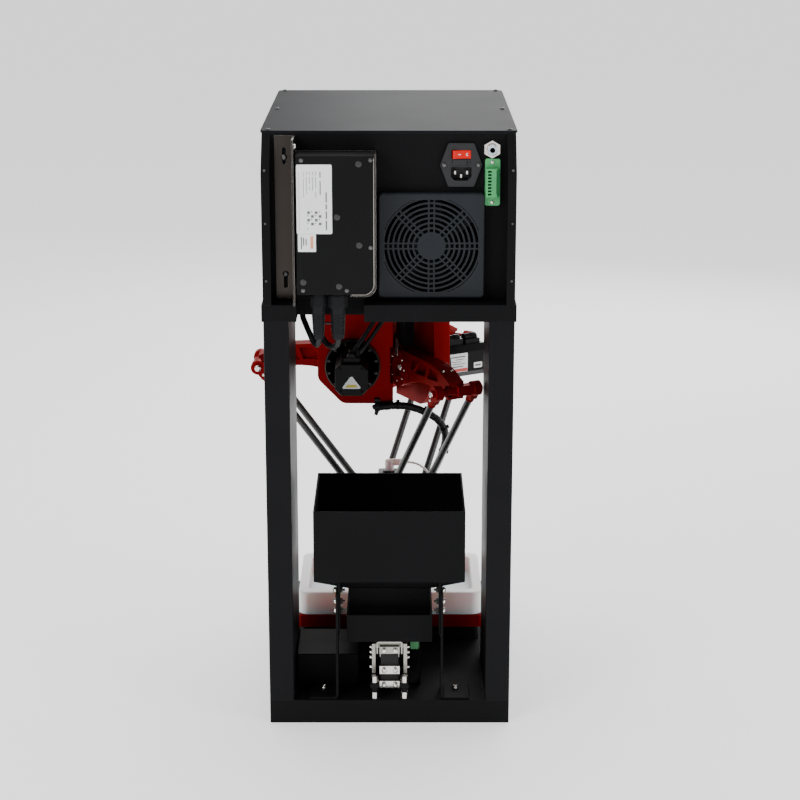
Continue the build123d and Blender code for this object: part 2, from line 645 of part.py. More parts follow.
for name, angle in arm_angles.items():
    tilt_plane = arm_plane(angle, arm_droop)
    with BuildPart() as arm:
        with BuildSketch(tilt_plane.offset(-11)):
            with BuildLine():
                Line((0, hub_r), (70, hub_r))
                Spline((70, hub_r), (100, 20.5), (arm_len, elbow_r), tangents=((1, 0), (1, -0.35)))
                Line((arm_len, elbow_r), (arm_len, -elbow_r))
                Line((arm_len, -elbow_r), (arm_len - 8, -elbow_r + 1.5))
                ThreePointArc((arm_len - 8, -elbow_r + 1.5), (64, -4.5), (14, -20.1))
                Line((14, -20.1), (0, -hub_r))
                Line((0, -hub_r), (0, hub_r))
            make_face()
        extrude(amount=22)
        with BuildSketch(tilt_plane.offset(-arm_half_w)):
            Circle(hub_r)
        extrude(amount=2 * arm_half_w)
        # cross bar between the rod eyes: square on one side, a round shaft out of a bearing on the other
        with BuildSketch(tilt_plane):
            with Locations((arm_len, 0)):
                RectangleRounded(elbow_bar_w, elbow_bar_h, 1)
        extrude(amount=-bar_half)
        with BuildSketch(tilt_plane.offset(11)):
            with Locations((arm_len - 2, 0)):
                Circle(7.5)
        extrude(amount=-6, mode=Mode.SUBTRACT)
        with BuildSketch(tilt_plane):
            with Locations((arm_len, 0)):
                Circle(4.6)
        extrude(amount=bar_half)
        # side pockets between V-shaped ribs, on both sides, with a web left in the middle
        for face_w, inward in ((11, -1), (-11, 1)):
            with BuildSketch(tilt_plane.offset(face_w)):
                Polygon((31, 20), (49, 20), (33, 3), (27, 8), align=None)
                Polygon((54, 20), (70, 20), (65, 4), (40, 2.5), (38, 3.5), align=None)
                Polygon((75, 19.5), (94, 15.5), (97, 6), (70, 3.5), align=None)
            extrude(amount=inward * 8, mode=Mode.SUBTRACT)
        # hub recess with its bolt circle on the outer face
        with BuildSketch(tilt_plane.offset(arm_half_w)):
            Circle(11.5)
        extrude(amount=-5, mode=Mode.SUBTRACT)
        with BuildSketch(tilt_plane.offset(arm_half_w)):
            with PolarLocations(17.5, 8):
                Circle(1.9)
        extrude(amount=-3, mode=Mode.SUBTRACT)
        # elbow pins with their heads
        with BuildSketch(tilt_plane.offset(-pin_end)):
            with Locations((arm_len, 0)):
                Circle(pin_r)
        extrude(amount=2 * pin_end)
        for side_w, outward in ((pin_end, 1), (-pin_end, -1)):
            with BuildSketch(tilt_plane.offset(side_w)):
                with Locations((arm_len, 0)):
                    Circle(5)
            extrude(amount=outward * 2.5)
    keep(arm, f"arm_{name}")

    rods_plane = rod_plane(angle)
    with BuildPart() as rod_ends:
        for side in (-1, 1):
            centre_w = side * rod_half_gap
            with BuildSketch(rods_plane.offset(centre_w - ring_half_w)):
                Circle(ring_r)
                with Locations((9, 0)):
                    RectangleRounded(16, 11, 1.5)
                Circle(pin_r + pin_clear, mode=Mode.SUBTRACT)
            extrude(amount=2 * ring_half_w)
            with BuildSketch(rods_plane.offset(centre_w - ring_half_w)):
                with Locations((rod_len, 0)):
                    Circle(ring_r)
                with Locations((rod_len - 9, 0)):
                    RectangleRounded(16, 11, 1.5)
                with Locations((rod_len, 0)):
                    Circle(pin_r + open_clear, mode=Mode.SUBTRACT)
            extrude(amount=2 * ring_half_w)
    keep(rod_ends, f"rod_ends_{name}")

    with BuildPart() as rods:
        down = rods_plane.x_dir
        for side in (-1, 1):
            start = rods_plane.origin + rods_plane.z_dir * (side * rod_half_gap) + down * 17
            with BuildSketch(Plane(origin=start, z_dir=down)):
                Circle(rod_r)
            extrude(amount=rod_len - 34)
    keep(rods, f"rods_{name}")

tongue_len, tongue_w, saddle_z = 62.0, 6.0, 224.0
with BuildPart() as platform:
    with BuildSketch(Plane.XY.offset(lower_z - 6)):
        with Locations((robot_x, robot_y)):
            Circle(21)
    extrude(amount=14)
    with BuildSketch(Plane.XY.offset(lower_z - 6)):
        with Locations((robot_x + tongue_len / 2, robot_y)):
            Rectangle(tongue_len, tongue_w)
    extrude(amount=8)
    with BuildSketch(Plane.XY.offset(lower_z - 6)):
        with Locations((robot_x + tongue_len - 6, robot_y - 2.5)):
            Rectangle(12, 17)
    extrude(amount=saddle_z - lower_z + 6)
    for angle in arm_angles.values():
        spoke = spoke_plane(angle)
        with BuildSketch(spoke.offset(-bar_half)):
            with Locations((lower_r, lower_z)):
                Circle(6)
        extrude(amount=2 * bar_half)
        with BuildSketch(spoke.offset(-8)):
            with Locations((lower_r / 2, lower_z)):
                Rectangle(lower_r, 12)
        extrude(amount=16)
        with BuildSketch(spoke.offset(-pin_end)):
            with Locations((lower_r, lower_z)):
                Circle(pin_r)
        extrude(amount=2 * pin_end)
    with BuildSketch(Plane.XY.offset(lower_z - 10)):
        with Locations((robot_x, robot_y)):
            Circle(5.05)
    extrude(amount=30, mode=Mode.SUBTRACT)
keep(platform, "platform")

wrist_z0, wrist_h = lower_z + 8, 24.0
with BuildPart() as wrist_motor:
    with BuildSketch(Plane.XY.offset(wrist_z0)):
        with Locations((robot_x, robot_y)):
            RectangleRounded(28, 28, 4)
    extrude(amount=wrist_h)
    with BuildSketch(Plane.XY.offset(wrist_z0 + wrist_h)):
        with Locations((robot_x, robot_y)):
            Circle(8)
    extrude(amount=2)
keep(wrist_motor, "wrist_motor")

nozzle_tip_z = 110.0
with BuildPart() as nozzle:
    with BuildSketch(Plane.XZ.offset(-robot_y)):
        with BuildLine():
            Polyline((robot_x, wrist_z0 - 0.5), (robot_x + 5, wrist_z0 - 0.5), (robot_x + 5, lower_z - 8),
                     (robot_x + 9, lower_z - 8), (robot_x + 9, lower_z - 20), (robot_x + 4, lower_z - 24),
                     (robot_x + 4, nozzle_tip_z + 14), (robot_x + 7, nozzle_tip_z + 12),
                     (robot_x + 5.5, nozzle_tip_z + 8), (robot_x + 7.5, nozzle_tip_z + 5),
                     (robot_x + 6, nozzle_tip_z + 3), (robot_x + 8, nozzle_tip_z),
                     (robot_x + 2, nozzle_tip_z), (robot_x + 2, nozzle_tip_z + 20),
                     (robot_x, nozzle_tip_z + 20), (robot_x, wrist_z0 - 0.5))
        make_face()
    revolve(axis=Axis((robot_x, robot_y, 0), (0, 0, 1)))
keep(nozzle, "nozzle")

elbow_z0 = wrist_z0 + wrist_h + 2
elbow_axis_z, elbow_end_x = 255.0, 18.0
with BuildPart() as air_elbow:
    with BuildSketch(Plane.XY.offset(elbow_z0)):
        with Locations((robot_x + 1, robot_y)):
            Circle(6)
    extrude(amount=elbow_axis_z - elbow_z0 + 4)
    fillet(air_elbow.faces().sort_by(Axis.Z)[-1].edges(), 3)
    with BuildSketch(Plane.YZ.offset(robot_x + 1)):
        with Locations((robot_y, elbow_axis_z)):
            Circle(4.6)
    extrude(amount=elbow_end_x - robot_x - 1)
keep(air_elbow, "air_elbow")

tube_route = [(elbow_end_x, robot_y, elbow_axis_z), (27, robot_y, elbow_axis_z), (36.5, 60.6, 252.5),
              (45, 61.4, 246.5), (51, 62, 239), (54, 62.5, 231.5), (54, 62.5, saddle_z)]
tube_cord = cord(tube_route, 1.6)
with BuildPart() as air_tube:
    add(tube_cord)
keep(air_tube, "air_tube")

hose_r = 5.0
hose_route = [(-13, 15.5, 344.4), (-6, 15.5, 344.4), (3, 15.2, 346), (17, 14.5, 346.3), (33, 14, 343),
              (48, 13.5, 337), (61, 13.5, 329), (69.5, 15, 318), (73, 18.5, 305), (72, 22.5, 291),
              (67, 29, 273), (60.5, 39, 255), (55, 49, 242), (54, 54, 233), (54, 54, saddle_z)]
hose_cord = cord(hose_route, hose_r)
with BuildPart() as hose_bundle:
    add(hose_cord)
keep(hose_bundle, "hose_bundle")

motor_cable_routes = [
    [(-48, -36, 425), (-48, -36, 429), (-42.5, -33.5, 435), (-33.5, -28.5, 447.5), (-21, -21.5, 466),
     (-9.5, -14, 483), (0, -8, 496), (4, -5.5, 504), (4, -5.5, deck_z)],
    [(-41, -36, 425), (-41, -36, 428), (-35, -33.5, 433.5), (-25, -28.5, 445.5), (-11, -21.5, 465),
     (1.5, -14, 482), (10, -8, 495), (13, -5.5, 503.5), (13, -5.5, deck_z)]]
motor_cords = [cord(route, 2.9) for route in motor_cable_routes]
with BuildPart() as motor_cables:
    add(motor_cords)
keep(motor_cables, "motor_cables")

with BuildPart() as cable_clips:
    with BuildSketch(Plane.YZ.offset(-20)):
        with Locations((15.5, 344.4)):
            Circle(hose_r + 1.2)
        with Locations((19, 350)):
            Rectangle(6, 8)
    extrude(amount=7)
keep(cable_clips, "cable_clips")

with BuildPart() as homing_sensors:
    for angle in arm_angles.values():
        with BuildSketch(spoke_plane(angle).offset(-7)):
            Polygon((axis_r - 6, deck_z), (axis_r + 8, deck_z), (axis_r + 8, axis_z + hub_r + 5),
                    (axis_r - 6, axis_z + hub_r + 5), align=None)
        extrude(amount=14)
keep(homing_sensors, "homing_sensors")

# ======================================================================================
# Part feeder: hopper on two legs, vibrating trough, tray
# ======================================================================================
hopper_depth = hopper_y1 - hopper_y0
hopper_cy = (hopper_y0 + hopper_y1) / 2
throat_half_w, throat_d, throat_cy, throat_z0, chute_z0 = 50.4, 95.0, -117.0, 143.0, 124.0
funnel_lift = 1.2  # rise of the inner funnel faces that keeps the sloping walls about one sheet thick
with BuildPart() as hopper:
    for inset, lift, mode in ((0.0, 0.0, Mode.ADD), (sheet, funnel_lift, Mode.SUBTRACT)):
        with BuildSketch(Plane.XY.offset(hopper_low + lift)):
            with Locations((0, hopper_cy)):
                Rectangle(2 * (hopper_half_w - inset), hopper_depth - 2 * inset)
        extrude(amount=hopper_rim - hopper_low, mode=mode)
        with BuildSketch(Plane.XY.offset(hopper_low + lift)):
            with Locations((0, hopper_cy)):
                Rectangle(2 * (hopper_half_w - inset), hopper_depth - 2 * inset)
        with BuildSketch(Plane.XY.offset(funnel_z + lift)):
            with Locations((0, throat_cy)):
                Rectangle(2 * (throat_half_w - inset), throat_d - 2 * inset)
        loft(mode=mode, ruled=True)
    # throat below the funnel, open at the front where the parts leave along the trough
    with BuildSketch(Plane.XY.offset(chute_z0)):
        with Locations((0, throat_cy)):
            Rectangle(2 * throat_half_w, throat_d)
    extrude(amount=funnel_z - chute_z0)
    with BuildSketch(Plane.XY.offset(chute_z0)):
        with Locations((0, throat_cy)):
            Rectangle(2 * (throat_half_w - sheet), throat_d - 2 * sheet)
    extrude(amount=funnel_z + 2 * funnel_lift - chute_z0, mode=Mode.SUBTRACT)
    with BuildSketch(Plane.XY.offset(chute_z0)):
        with Locations((0, throat_cy + throat_d / 2)):
            Rectangle(2 * (throat_half_w - sheet), 3 * sheet)
    extrude(amount=throat_z0 - chute_z0, mode=Mode.SUBTRACT)
    for side in (-1, 1):
        with BuildSketch(Plane.YZ.offset(side * (leg_x - 1.3))):
            Polygon((lug_y0, lug_z0), (leg_y1, lug_z0), (leg_y1, 171), (-178, 171), (lug_y0, 182), align=None)
        extrude(amount=-side * 2.4)
keep(hopper, "hopper")

with BuildPart() as hopper_legs:
    for side in (-1, 1):
        with BuildSketch(Plane.XZ.offset(-leg_y0)):
            with BuildLine():
                FilletPolyline((side * leg_x, leg_top), (side * leg_x, base_h + 1.25),
                               (side * 98, base_h + 1.25), radius=5)
                offset(amount=1.25, side=Side.BOTH)
            make_face()
        extrude(amount=leg_y0 - leg_y1)
keep(hopper_legs, "hopper_legs")

with BuildPart() as trough:
    with BuildSketch(Plane.XY.offset(trough_z0)):
        with Locations((0, (trough_y0 + trough_y1) / 2)):
            Rectangle(2 * trough_half_w, trough_y1 - trough_y0)
    extrude(amount=trough_z1 - trough_z0)
    with BuildSketch(Plane.XY.offset(trough_z0 + sheet)):
        with Locations((0, (trough_y0 + trough_y1) / 2 + sheet)):
            Rectangle(2 * (trough_half_w - sheet), trough_y1 - trough_y0)
    extrude(amount=trough_z1 - trough_z0, mode=Mode.SUBTRACT)
keep(trough, "trough")

head_z0, head_y0, head_y1 = 76.0, -182.0, -70.0
spring_y = (head_y0 - 1.5, head_y1)
with BuildPart() as vibrator_head:
    with BuildSketch(Plane.XY.offset(head_z0)):
        with Locations((0, (head_y0 + head_y1) / 2)):
            Rectangle(24, head_y1 - head_y0)
    extrude(amount=trough_z0 - head_z0)
    with BuildSketch(rear_plane(head_y0 - 1.5)):
        with BuildLine():
            FilletPolyline((-15.2, 84), (-15.2, trough_z0 - 1), (15.2, trough_z0 - 1), (15.2, 84), radius=2)
            offset(amount=0.9, side=Side.BOTH)
        make_face()
    extrude(amount=6)
    for side in (-1, 1):
        with BuildSketch(Plane.XY.offset(56)):
            with Locations((side * 19.6, head_y0 + 10)):
                Rectangle(4.2, 28)
        extrude(amount=39)
        with BuildSketch(Plane.XY.offset(86)):
            with Locations((side * 14.8, head_y0 + 12)):
                Rectangle(6, 12)
        extrude(amount=6)
    with BuildSketch(rear_plane(head_y0 - 1.5)):
        with Locations((0, 87)):
            Rectangle(25, 9)
    extrude(amount=4)
    with BuildSketch(rear_plane(head_y0 - 5.5)):
        with Locations((-6.7, 87), (7.1, 87)):
            Circle(3)
    extrude(amount=3)
keep(vibrator_head, "vibrator_head")

with BuildPart() as leaf_springs:
    for y in spring_y:
        with BuildSketch(Plane.XY.offset(40)):
            with Locations((0, y + 0.75)):
                Rectangle(22, 1.5)
        extrude(amount=50)
keep(leaf_springs, "leaf_springs")

post_x, post_y = 18.5, (-203.0, head_y1 - 6)
rail_z0, rail_t, foot_nut_h = 46.0, 5.0, 9.0
# Bars and screws that hold the rear spring, and the nuts above and below the base's posts
with BuildPart() as spring_clamps:
    for z0, z1 in ((55.5, 66), (36.5, 46)):
        with BuildSketch(rear_plane(head_y0 - 1.5)):
            with Locations((0, (z0 + z1) / 2)):
                Rectangle(25, z1 - z0)
        extrude(amount=4)
        with BuildSketch(rear_plane(head_y0 - 5.5)):
            with Locations((-6.7, (z0 + z1) / 2), (7.1, (z0 + z1) / 2)):
                Circle(3)
        extrude(amount=3)
    for z0, nut_h, nut_r in ((base_h, foot_nut_h, 4.8), (rail_z0 + rail_t, foot_nut_h, 4.4)):
        with BuildSketch(Plane.XY.offset(z0)):
            with Locations(*[(side * post_x, y) for side in (-1, 1) for y in post_y]):
                RegularPolygon(nut_r, 6)
        extrude(amount=nut_h)
keep(spring_clamps, "spring_clamps")

with BuildPart() as vibrator_base:
    with BuildSketch(Plane.XY.offset(40)):
        with Locations((0, (head_y0 + head_y1) / 2)):
            Rectangle(24, head_y1 - head_y0)
    extrude(amount=16)
    for y in (head_y0 + 6, head_y1 - 6):
        with BuildSketch(Plane.XY.offset(rail_z0)):
            with Locations((0, y)):
                Rectangle(47, 12)
        extrude(amount=rail_t)
    for side in (-1, 1):
        with BuildSketch(Plane.XY.offset(rail_z0)):
            with Locations((side * post_x, (post_y[0] + head_y0) / 2 + 3)):
                Rectangle(10, head_y0 - post_y[0] + 18)
        extrude(amount=rail_t)
        with BuildSketch(Plane.XY.offset(base_h + foot_nut_h)):
            with Locations(*[(side * post_x, y) for y in post_y]):
                Circle(3.9)
        extrude(amount=rail_z0 - base_h - foot_nut_h)
keep(vibrator_base, "vibrator_base")

with BuildPart() as drive_coils:
    with BuildSketch(Plane.XY.offset(56)):
        with Locations((0, (head_y0 + head_y1) / 2)):
            RectangleRounded(22, 40, 3)
    extrude(amount=17)
    with BuildSketch(Plane.XY.offset(base_h + 2.5)):
        with Locations((0, (tray_y0 + tray_y1) / 2)):
            with GridLocations(150, 80, 2, 2):
                Circle(14)
    extrude(amount=14)
keep(drive_coils, "drive_coils")

tray_cy, tray_d = (tray_y0 + tray_y1) / 2, tray_y1 - tray_y0
with BuildPart() as feeder_body:
    with BuildSketch(Plane.XY.offset(base_h)):
        with Locations((0, tray_cy)):
            RectangleRounded(2 * tray_half_w - 8, tray_d - 8, 6)
    extrude(amount=frame_z0 - base_h)
    with BuildSketch(Plane.XY.offset(base_h + 2.5)):
        with Locations((0, tray_cy)):
            Rectangle(2 * tray_half_w - 14, tray_d - 14)
    extrude(amount=frame_z0 - base_h, mode=Mode.SUBTRACT)
keep(feeder_body, "feeder_body")

with BuildPart() as feeder_frame:
    with BuildSketch(Plane.XY.offset(frame_z0)):
        with Locations((0, tray_cy)):
            RectangleRounded(2 * tray_half_w, tray_d, 3)
    extrude(amount=tray_z0 - frame_z0)
    with BuildSketch(Plane.XY.offset(frame_z0)):
        with Locations((0, tray_cy)):
            Rectangle(2 * tray_half_w - 16, tray_d - 16)
    extrude(amount=tray_z0 - frame_z0 - 3, mode=Mode.SUBTRACT)
keep(feeder_frame, "feeder_frame")

tray_gap, tray_rim, tray_floor_z = 1.2, 13.0, 77.0
with BuildPart() as feeder_tray:
    with BuildSketch(Plane.XY.offset(tray_z0 + tray_gap)):
        with Locations((0, tray_cy)):
            RectangleRounded(2 * tray_half_w, tray_d, 13)
    extrude(amount=tray_z1 - tray_z0 - tray_gap)
    with BuildSketch(Plane.XY.offset(tray_floor_z)):
        with Locations((0, tray_cy)):
            RectangleRounded(2 * (tray_half_w - tray_rim), tray_d - 2 * tray_rim, 10)
    extrude(amount=tray_z1 - tray_floor_z, mode=Mode.SUBTRACT)
    fillet(feeder_tray.faces().sort_by(Axis.Z)[-1].edges(), 2)
keep(feeder_tray, "feeder_tray")

with BuildPart() as feeder_driver:
    with BuildSketch(Plane.XY.offset(base_h)):
        with Locations((-77.3, -120)):
            RectangleRounded(78, 86, 3)
    extrude(amount=42)
    fillet(feeder_driver.faces().sort_by(Axis.Z)[-1].edges(), 1.5)
keep(feeder_driver, "feeder_driver")
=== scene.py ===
import json
from math import cos, pi, radians, sin

import bmesh
import bpy
from mathutils import Matrix, Vector


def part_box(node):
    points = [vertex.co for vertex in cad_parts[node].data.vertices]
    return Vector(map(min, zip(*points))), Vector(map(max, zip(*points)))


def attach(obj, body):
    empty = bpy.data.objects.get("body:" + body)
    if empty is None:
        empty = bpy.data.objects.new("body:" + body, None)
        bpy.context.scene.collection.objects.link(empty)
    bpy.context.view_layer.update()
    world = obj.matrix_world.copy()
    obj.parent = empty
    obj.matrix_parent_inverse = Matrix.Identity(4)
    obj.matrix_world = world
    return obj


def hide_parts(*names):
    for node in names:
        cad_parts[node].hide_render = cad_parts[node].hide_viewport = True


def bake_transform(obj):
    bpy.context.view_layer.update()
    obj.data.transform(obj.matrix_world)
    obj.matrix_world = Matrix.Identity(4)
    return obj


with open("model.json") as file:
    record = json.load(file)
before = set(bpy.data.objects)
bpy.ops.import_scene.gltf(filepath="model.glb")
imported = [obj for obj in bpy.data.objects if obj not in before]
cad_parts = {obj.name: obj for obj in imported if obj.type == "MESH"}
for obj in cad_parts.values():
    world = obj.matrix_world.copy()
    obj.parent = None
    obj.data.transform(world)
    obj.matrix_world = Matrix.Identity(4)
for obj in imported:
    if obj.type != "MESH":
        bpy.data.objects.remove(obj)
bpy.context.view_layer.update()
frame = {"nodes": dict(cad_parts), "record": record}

scene = bpy.context.scene
MM = 0.001
X, Y, Z = Vector((1, 0, 0)), Vector((0, 1, 0)), Vector((0, 0, 1))
REAR = -Y
nodes = frame["nodes"]

# ======================================================================================
# Camera: level with the upper part of the cabinet, behind it, looking slightly down
# ======================================================================================
camera_data = bpy.data.cameras.new("camera")
camera_data.sensor_width = 36
camera_data.lens = 92.25
camera = bpy.data.objects.new("camera", camera_data)
camera.location = (0.013, -2.5568, 1.0667)
camera.rotation_euler = (radians(90 - 15.5), 0, 0)
scene.collection.objects.link(camera)
scene.camera = camera


# ======================================================================================
# Materials
# ======================================================================================
def link(tree, out_node, out_name, in_node, in_name):
    tree.links.new(out_node.outputs[out_name], in_node.inputs[in_name])


def ramp(tree, source, low_value, high_value, from_low=0.3, from_high=0.7):
    """Map a noise value to a range."""
    node = tree.nodes.new("ShaderNodeMapRange")
    node.inputs["From Min"].default_value = from_low
    node.inputs["From Max"].default_value = from_high
    node.inputs["To Min"].default_value = low_value
    node.inputs["To Max"].default_value = high_value
    tree.links.new(source, node.inputs["Value"])
    return node.outputs["Result"]


def noise(tree, coordinates, scale, detail=3.0, stretch=(1, 1, 1)):
    """Noise value in object space; scale is in features per metre."""
    mapping = tree.nodes.new("ShaderNodeMapping")
    mapping.inputs["Scale"].default_value = stretch
    tree.links.new(coordinates, mapping.inputs["Vector"])
    node = tree.nodes.new("ShaderNodeTexNoise")
    node.inputs["Scale"].default_value = scale
    node.inputs["Detail"].default_value = detail
    link(tree, mapping, "Vector", node, "Vector")
    return node.outputs["Fac"]


def bump(tree, height, strength, distance, normal=None):
    node = tree.nodes.new("ShaderNodeBump")
    node.inputs["Strength"].default_value = strength
    node.inputs["Distance"].default_value = distance
    tree.links.new(height, node.inputs["Height"])
    if normal is not None:
        tree.links.new(normal, node.inputs["Normal"])
    return node.outputs["Normal"]


def mix_colour(tree, factor, first, second):
    node = tree.nodes.new("ShaderNodeMix")
    node.data_type = "RGBA"
    tree.links.new(factor, node.inputs["Factor"])
    for socket, value in ((node.inputs[6], first), (node.inputs[7], second)):
        if isinstance(value, bpy.types.NodeSocket):
            tree.links.new(value, socket)
        else:
            socket.default_value = (*value, 1)
    return node.outputs[2]


def finish_material(name, colour, rough, metallic=0.0, variation=0.12, rough_spread=0.06, grain=1400.0,
                    grain_strength=0.12, grain_depth=0.0001, stretch=(1, 1, 1), round_edge=0.0,
                    wear_and_edge_highlight=None, wear_and_highlight_amount=0.5, coat=0.0, coat_rough=0.08, specular=0.5, ior=1.5,
                    subsurface=0.0, transmission=0.0, anisotropic=0.0, dust=0.0):
    """Procedural finish: uneven colour and gloss, fine grain, rounded edges with a lighter rim of wear and
    painted edge highlight.
    """
    material = bpy.data.materials.new(name)
    material.use_nodes = True
    tree = material.node_tree
    shader = tree.nodes["Principled BSDF"]
    coordinates = tree.nodes.new("ShaderNodeTexCoord").outputs["Object"]
    broad = noise(tree, coordinates, 14, 4)
    fine = noise(tree, coordinates, grain, 2, stretch)
    darker = tuple(c * (1 - variation) for c in colour)
    lighter = tuple(min(1, c * (1 + variation)) for c in colour)
    base = mix_colour(tree, ramp(tree, broad, 0, 1), darker, lighter)
    if dust:
        speck = noise(tree, coordinates, 420, 2)
        base = mix_colour(tree, ramp(tree, speck, 0, dust, 0.66, 0.74), base, (0.5, 0.5, 0.5))
    normal = None
    if round_edge:
        bevel = tree.nodes.new("ShaderNodeBevel")
        bevel.samples = 4
        bevel.inputs["Radius"].default_value = round_edge
        normal = bevel.outputs["Normal"]
        # Lighter colour along edges: a little wear plus a painted highlight where the edges catch light
        if wear_and_edge_highlight:
            geometry = tree.nodes.new("ShaderNodeNewGeometry")
            product = tree.nodes.new("ShaderNodeVectorMath")
            product.operation = "DOT_PRODUCT"
            tree.links.new(normal, product.inputs[0])
            tree.links.new(geometry.outputs["Normal"], product.inputs[1])
            edge = ramp(tree, product.outputs["Value"], wear_and_highlight_amount, 0, 0.80, 0.97)
            base = mix_colour(tree, edge, base, wear_and_edge_highlight)
    tree.links.new(base, shader.inputs["Base Color"])
    tree.links.new(ramp(tree, broad, max(0.02, rough - rough_spread), min(1, rough + rough_spread)),
                   shader.inputs["Roughness"])
    tree.links.new(bump(tree, fine, grain_strength, grain_depth, normal), shader.inputs["Normal"])
    shader.inputs["Metallic"].default_value = metallic
    shader.inputs["Specular IOR Level"].default_value = specular
    shader.inputs["IOR"].default_value = ior
    shader.inputs["Coat Weight"].default_value = coat
    shader.inputs["Coat Roughness"].default_value = coat_rough
    shader.inputs["Subsurface Weight"].default_value = subsurface
    shader.inputs["Transmission Weight"].default_value = transmission
    shader.inputs["Anisotropic"].default_value = anisotropic
    return material


def carbon_material(name):
    """Woven carbon tube: a fine twill of two greys under a clear coat."""
    material = finish_material(name, (0.012, 0.012, 0.013), 0.3, coat=0.25, coat_rough=0.12, grain=900,
                               grain_strength=0.3)
    tree = material.node_tree
    shader = tree.nodes["Principled BSDF"]
    coordinates = tree.nodes.new("ShaderNodeTexCoord").outputs["Object"]
    checker = tree.nodes.new("ShaderNodeTexChecker")
    checker.inputs["Scale"].default_value = 520
    checker.inputs["Color1"].default_value = (0.008, 0.008, 0.009, 1)
    checker.inputs["Color2"].default_value = (0.05, 0.049, 0.049, 1)
    tree.links.new(coordinates, checker.inputs["Vector"])
    link(tree, checker, "Color", shader, "Base Color")
    return material


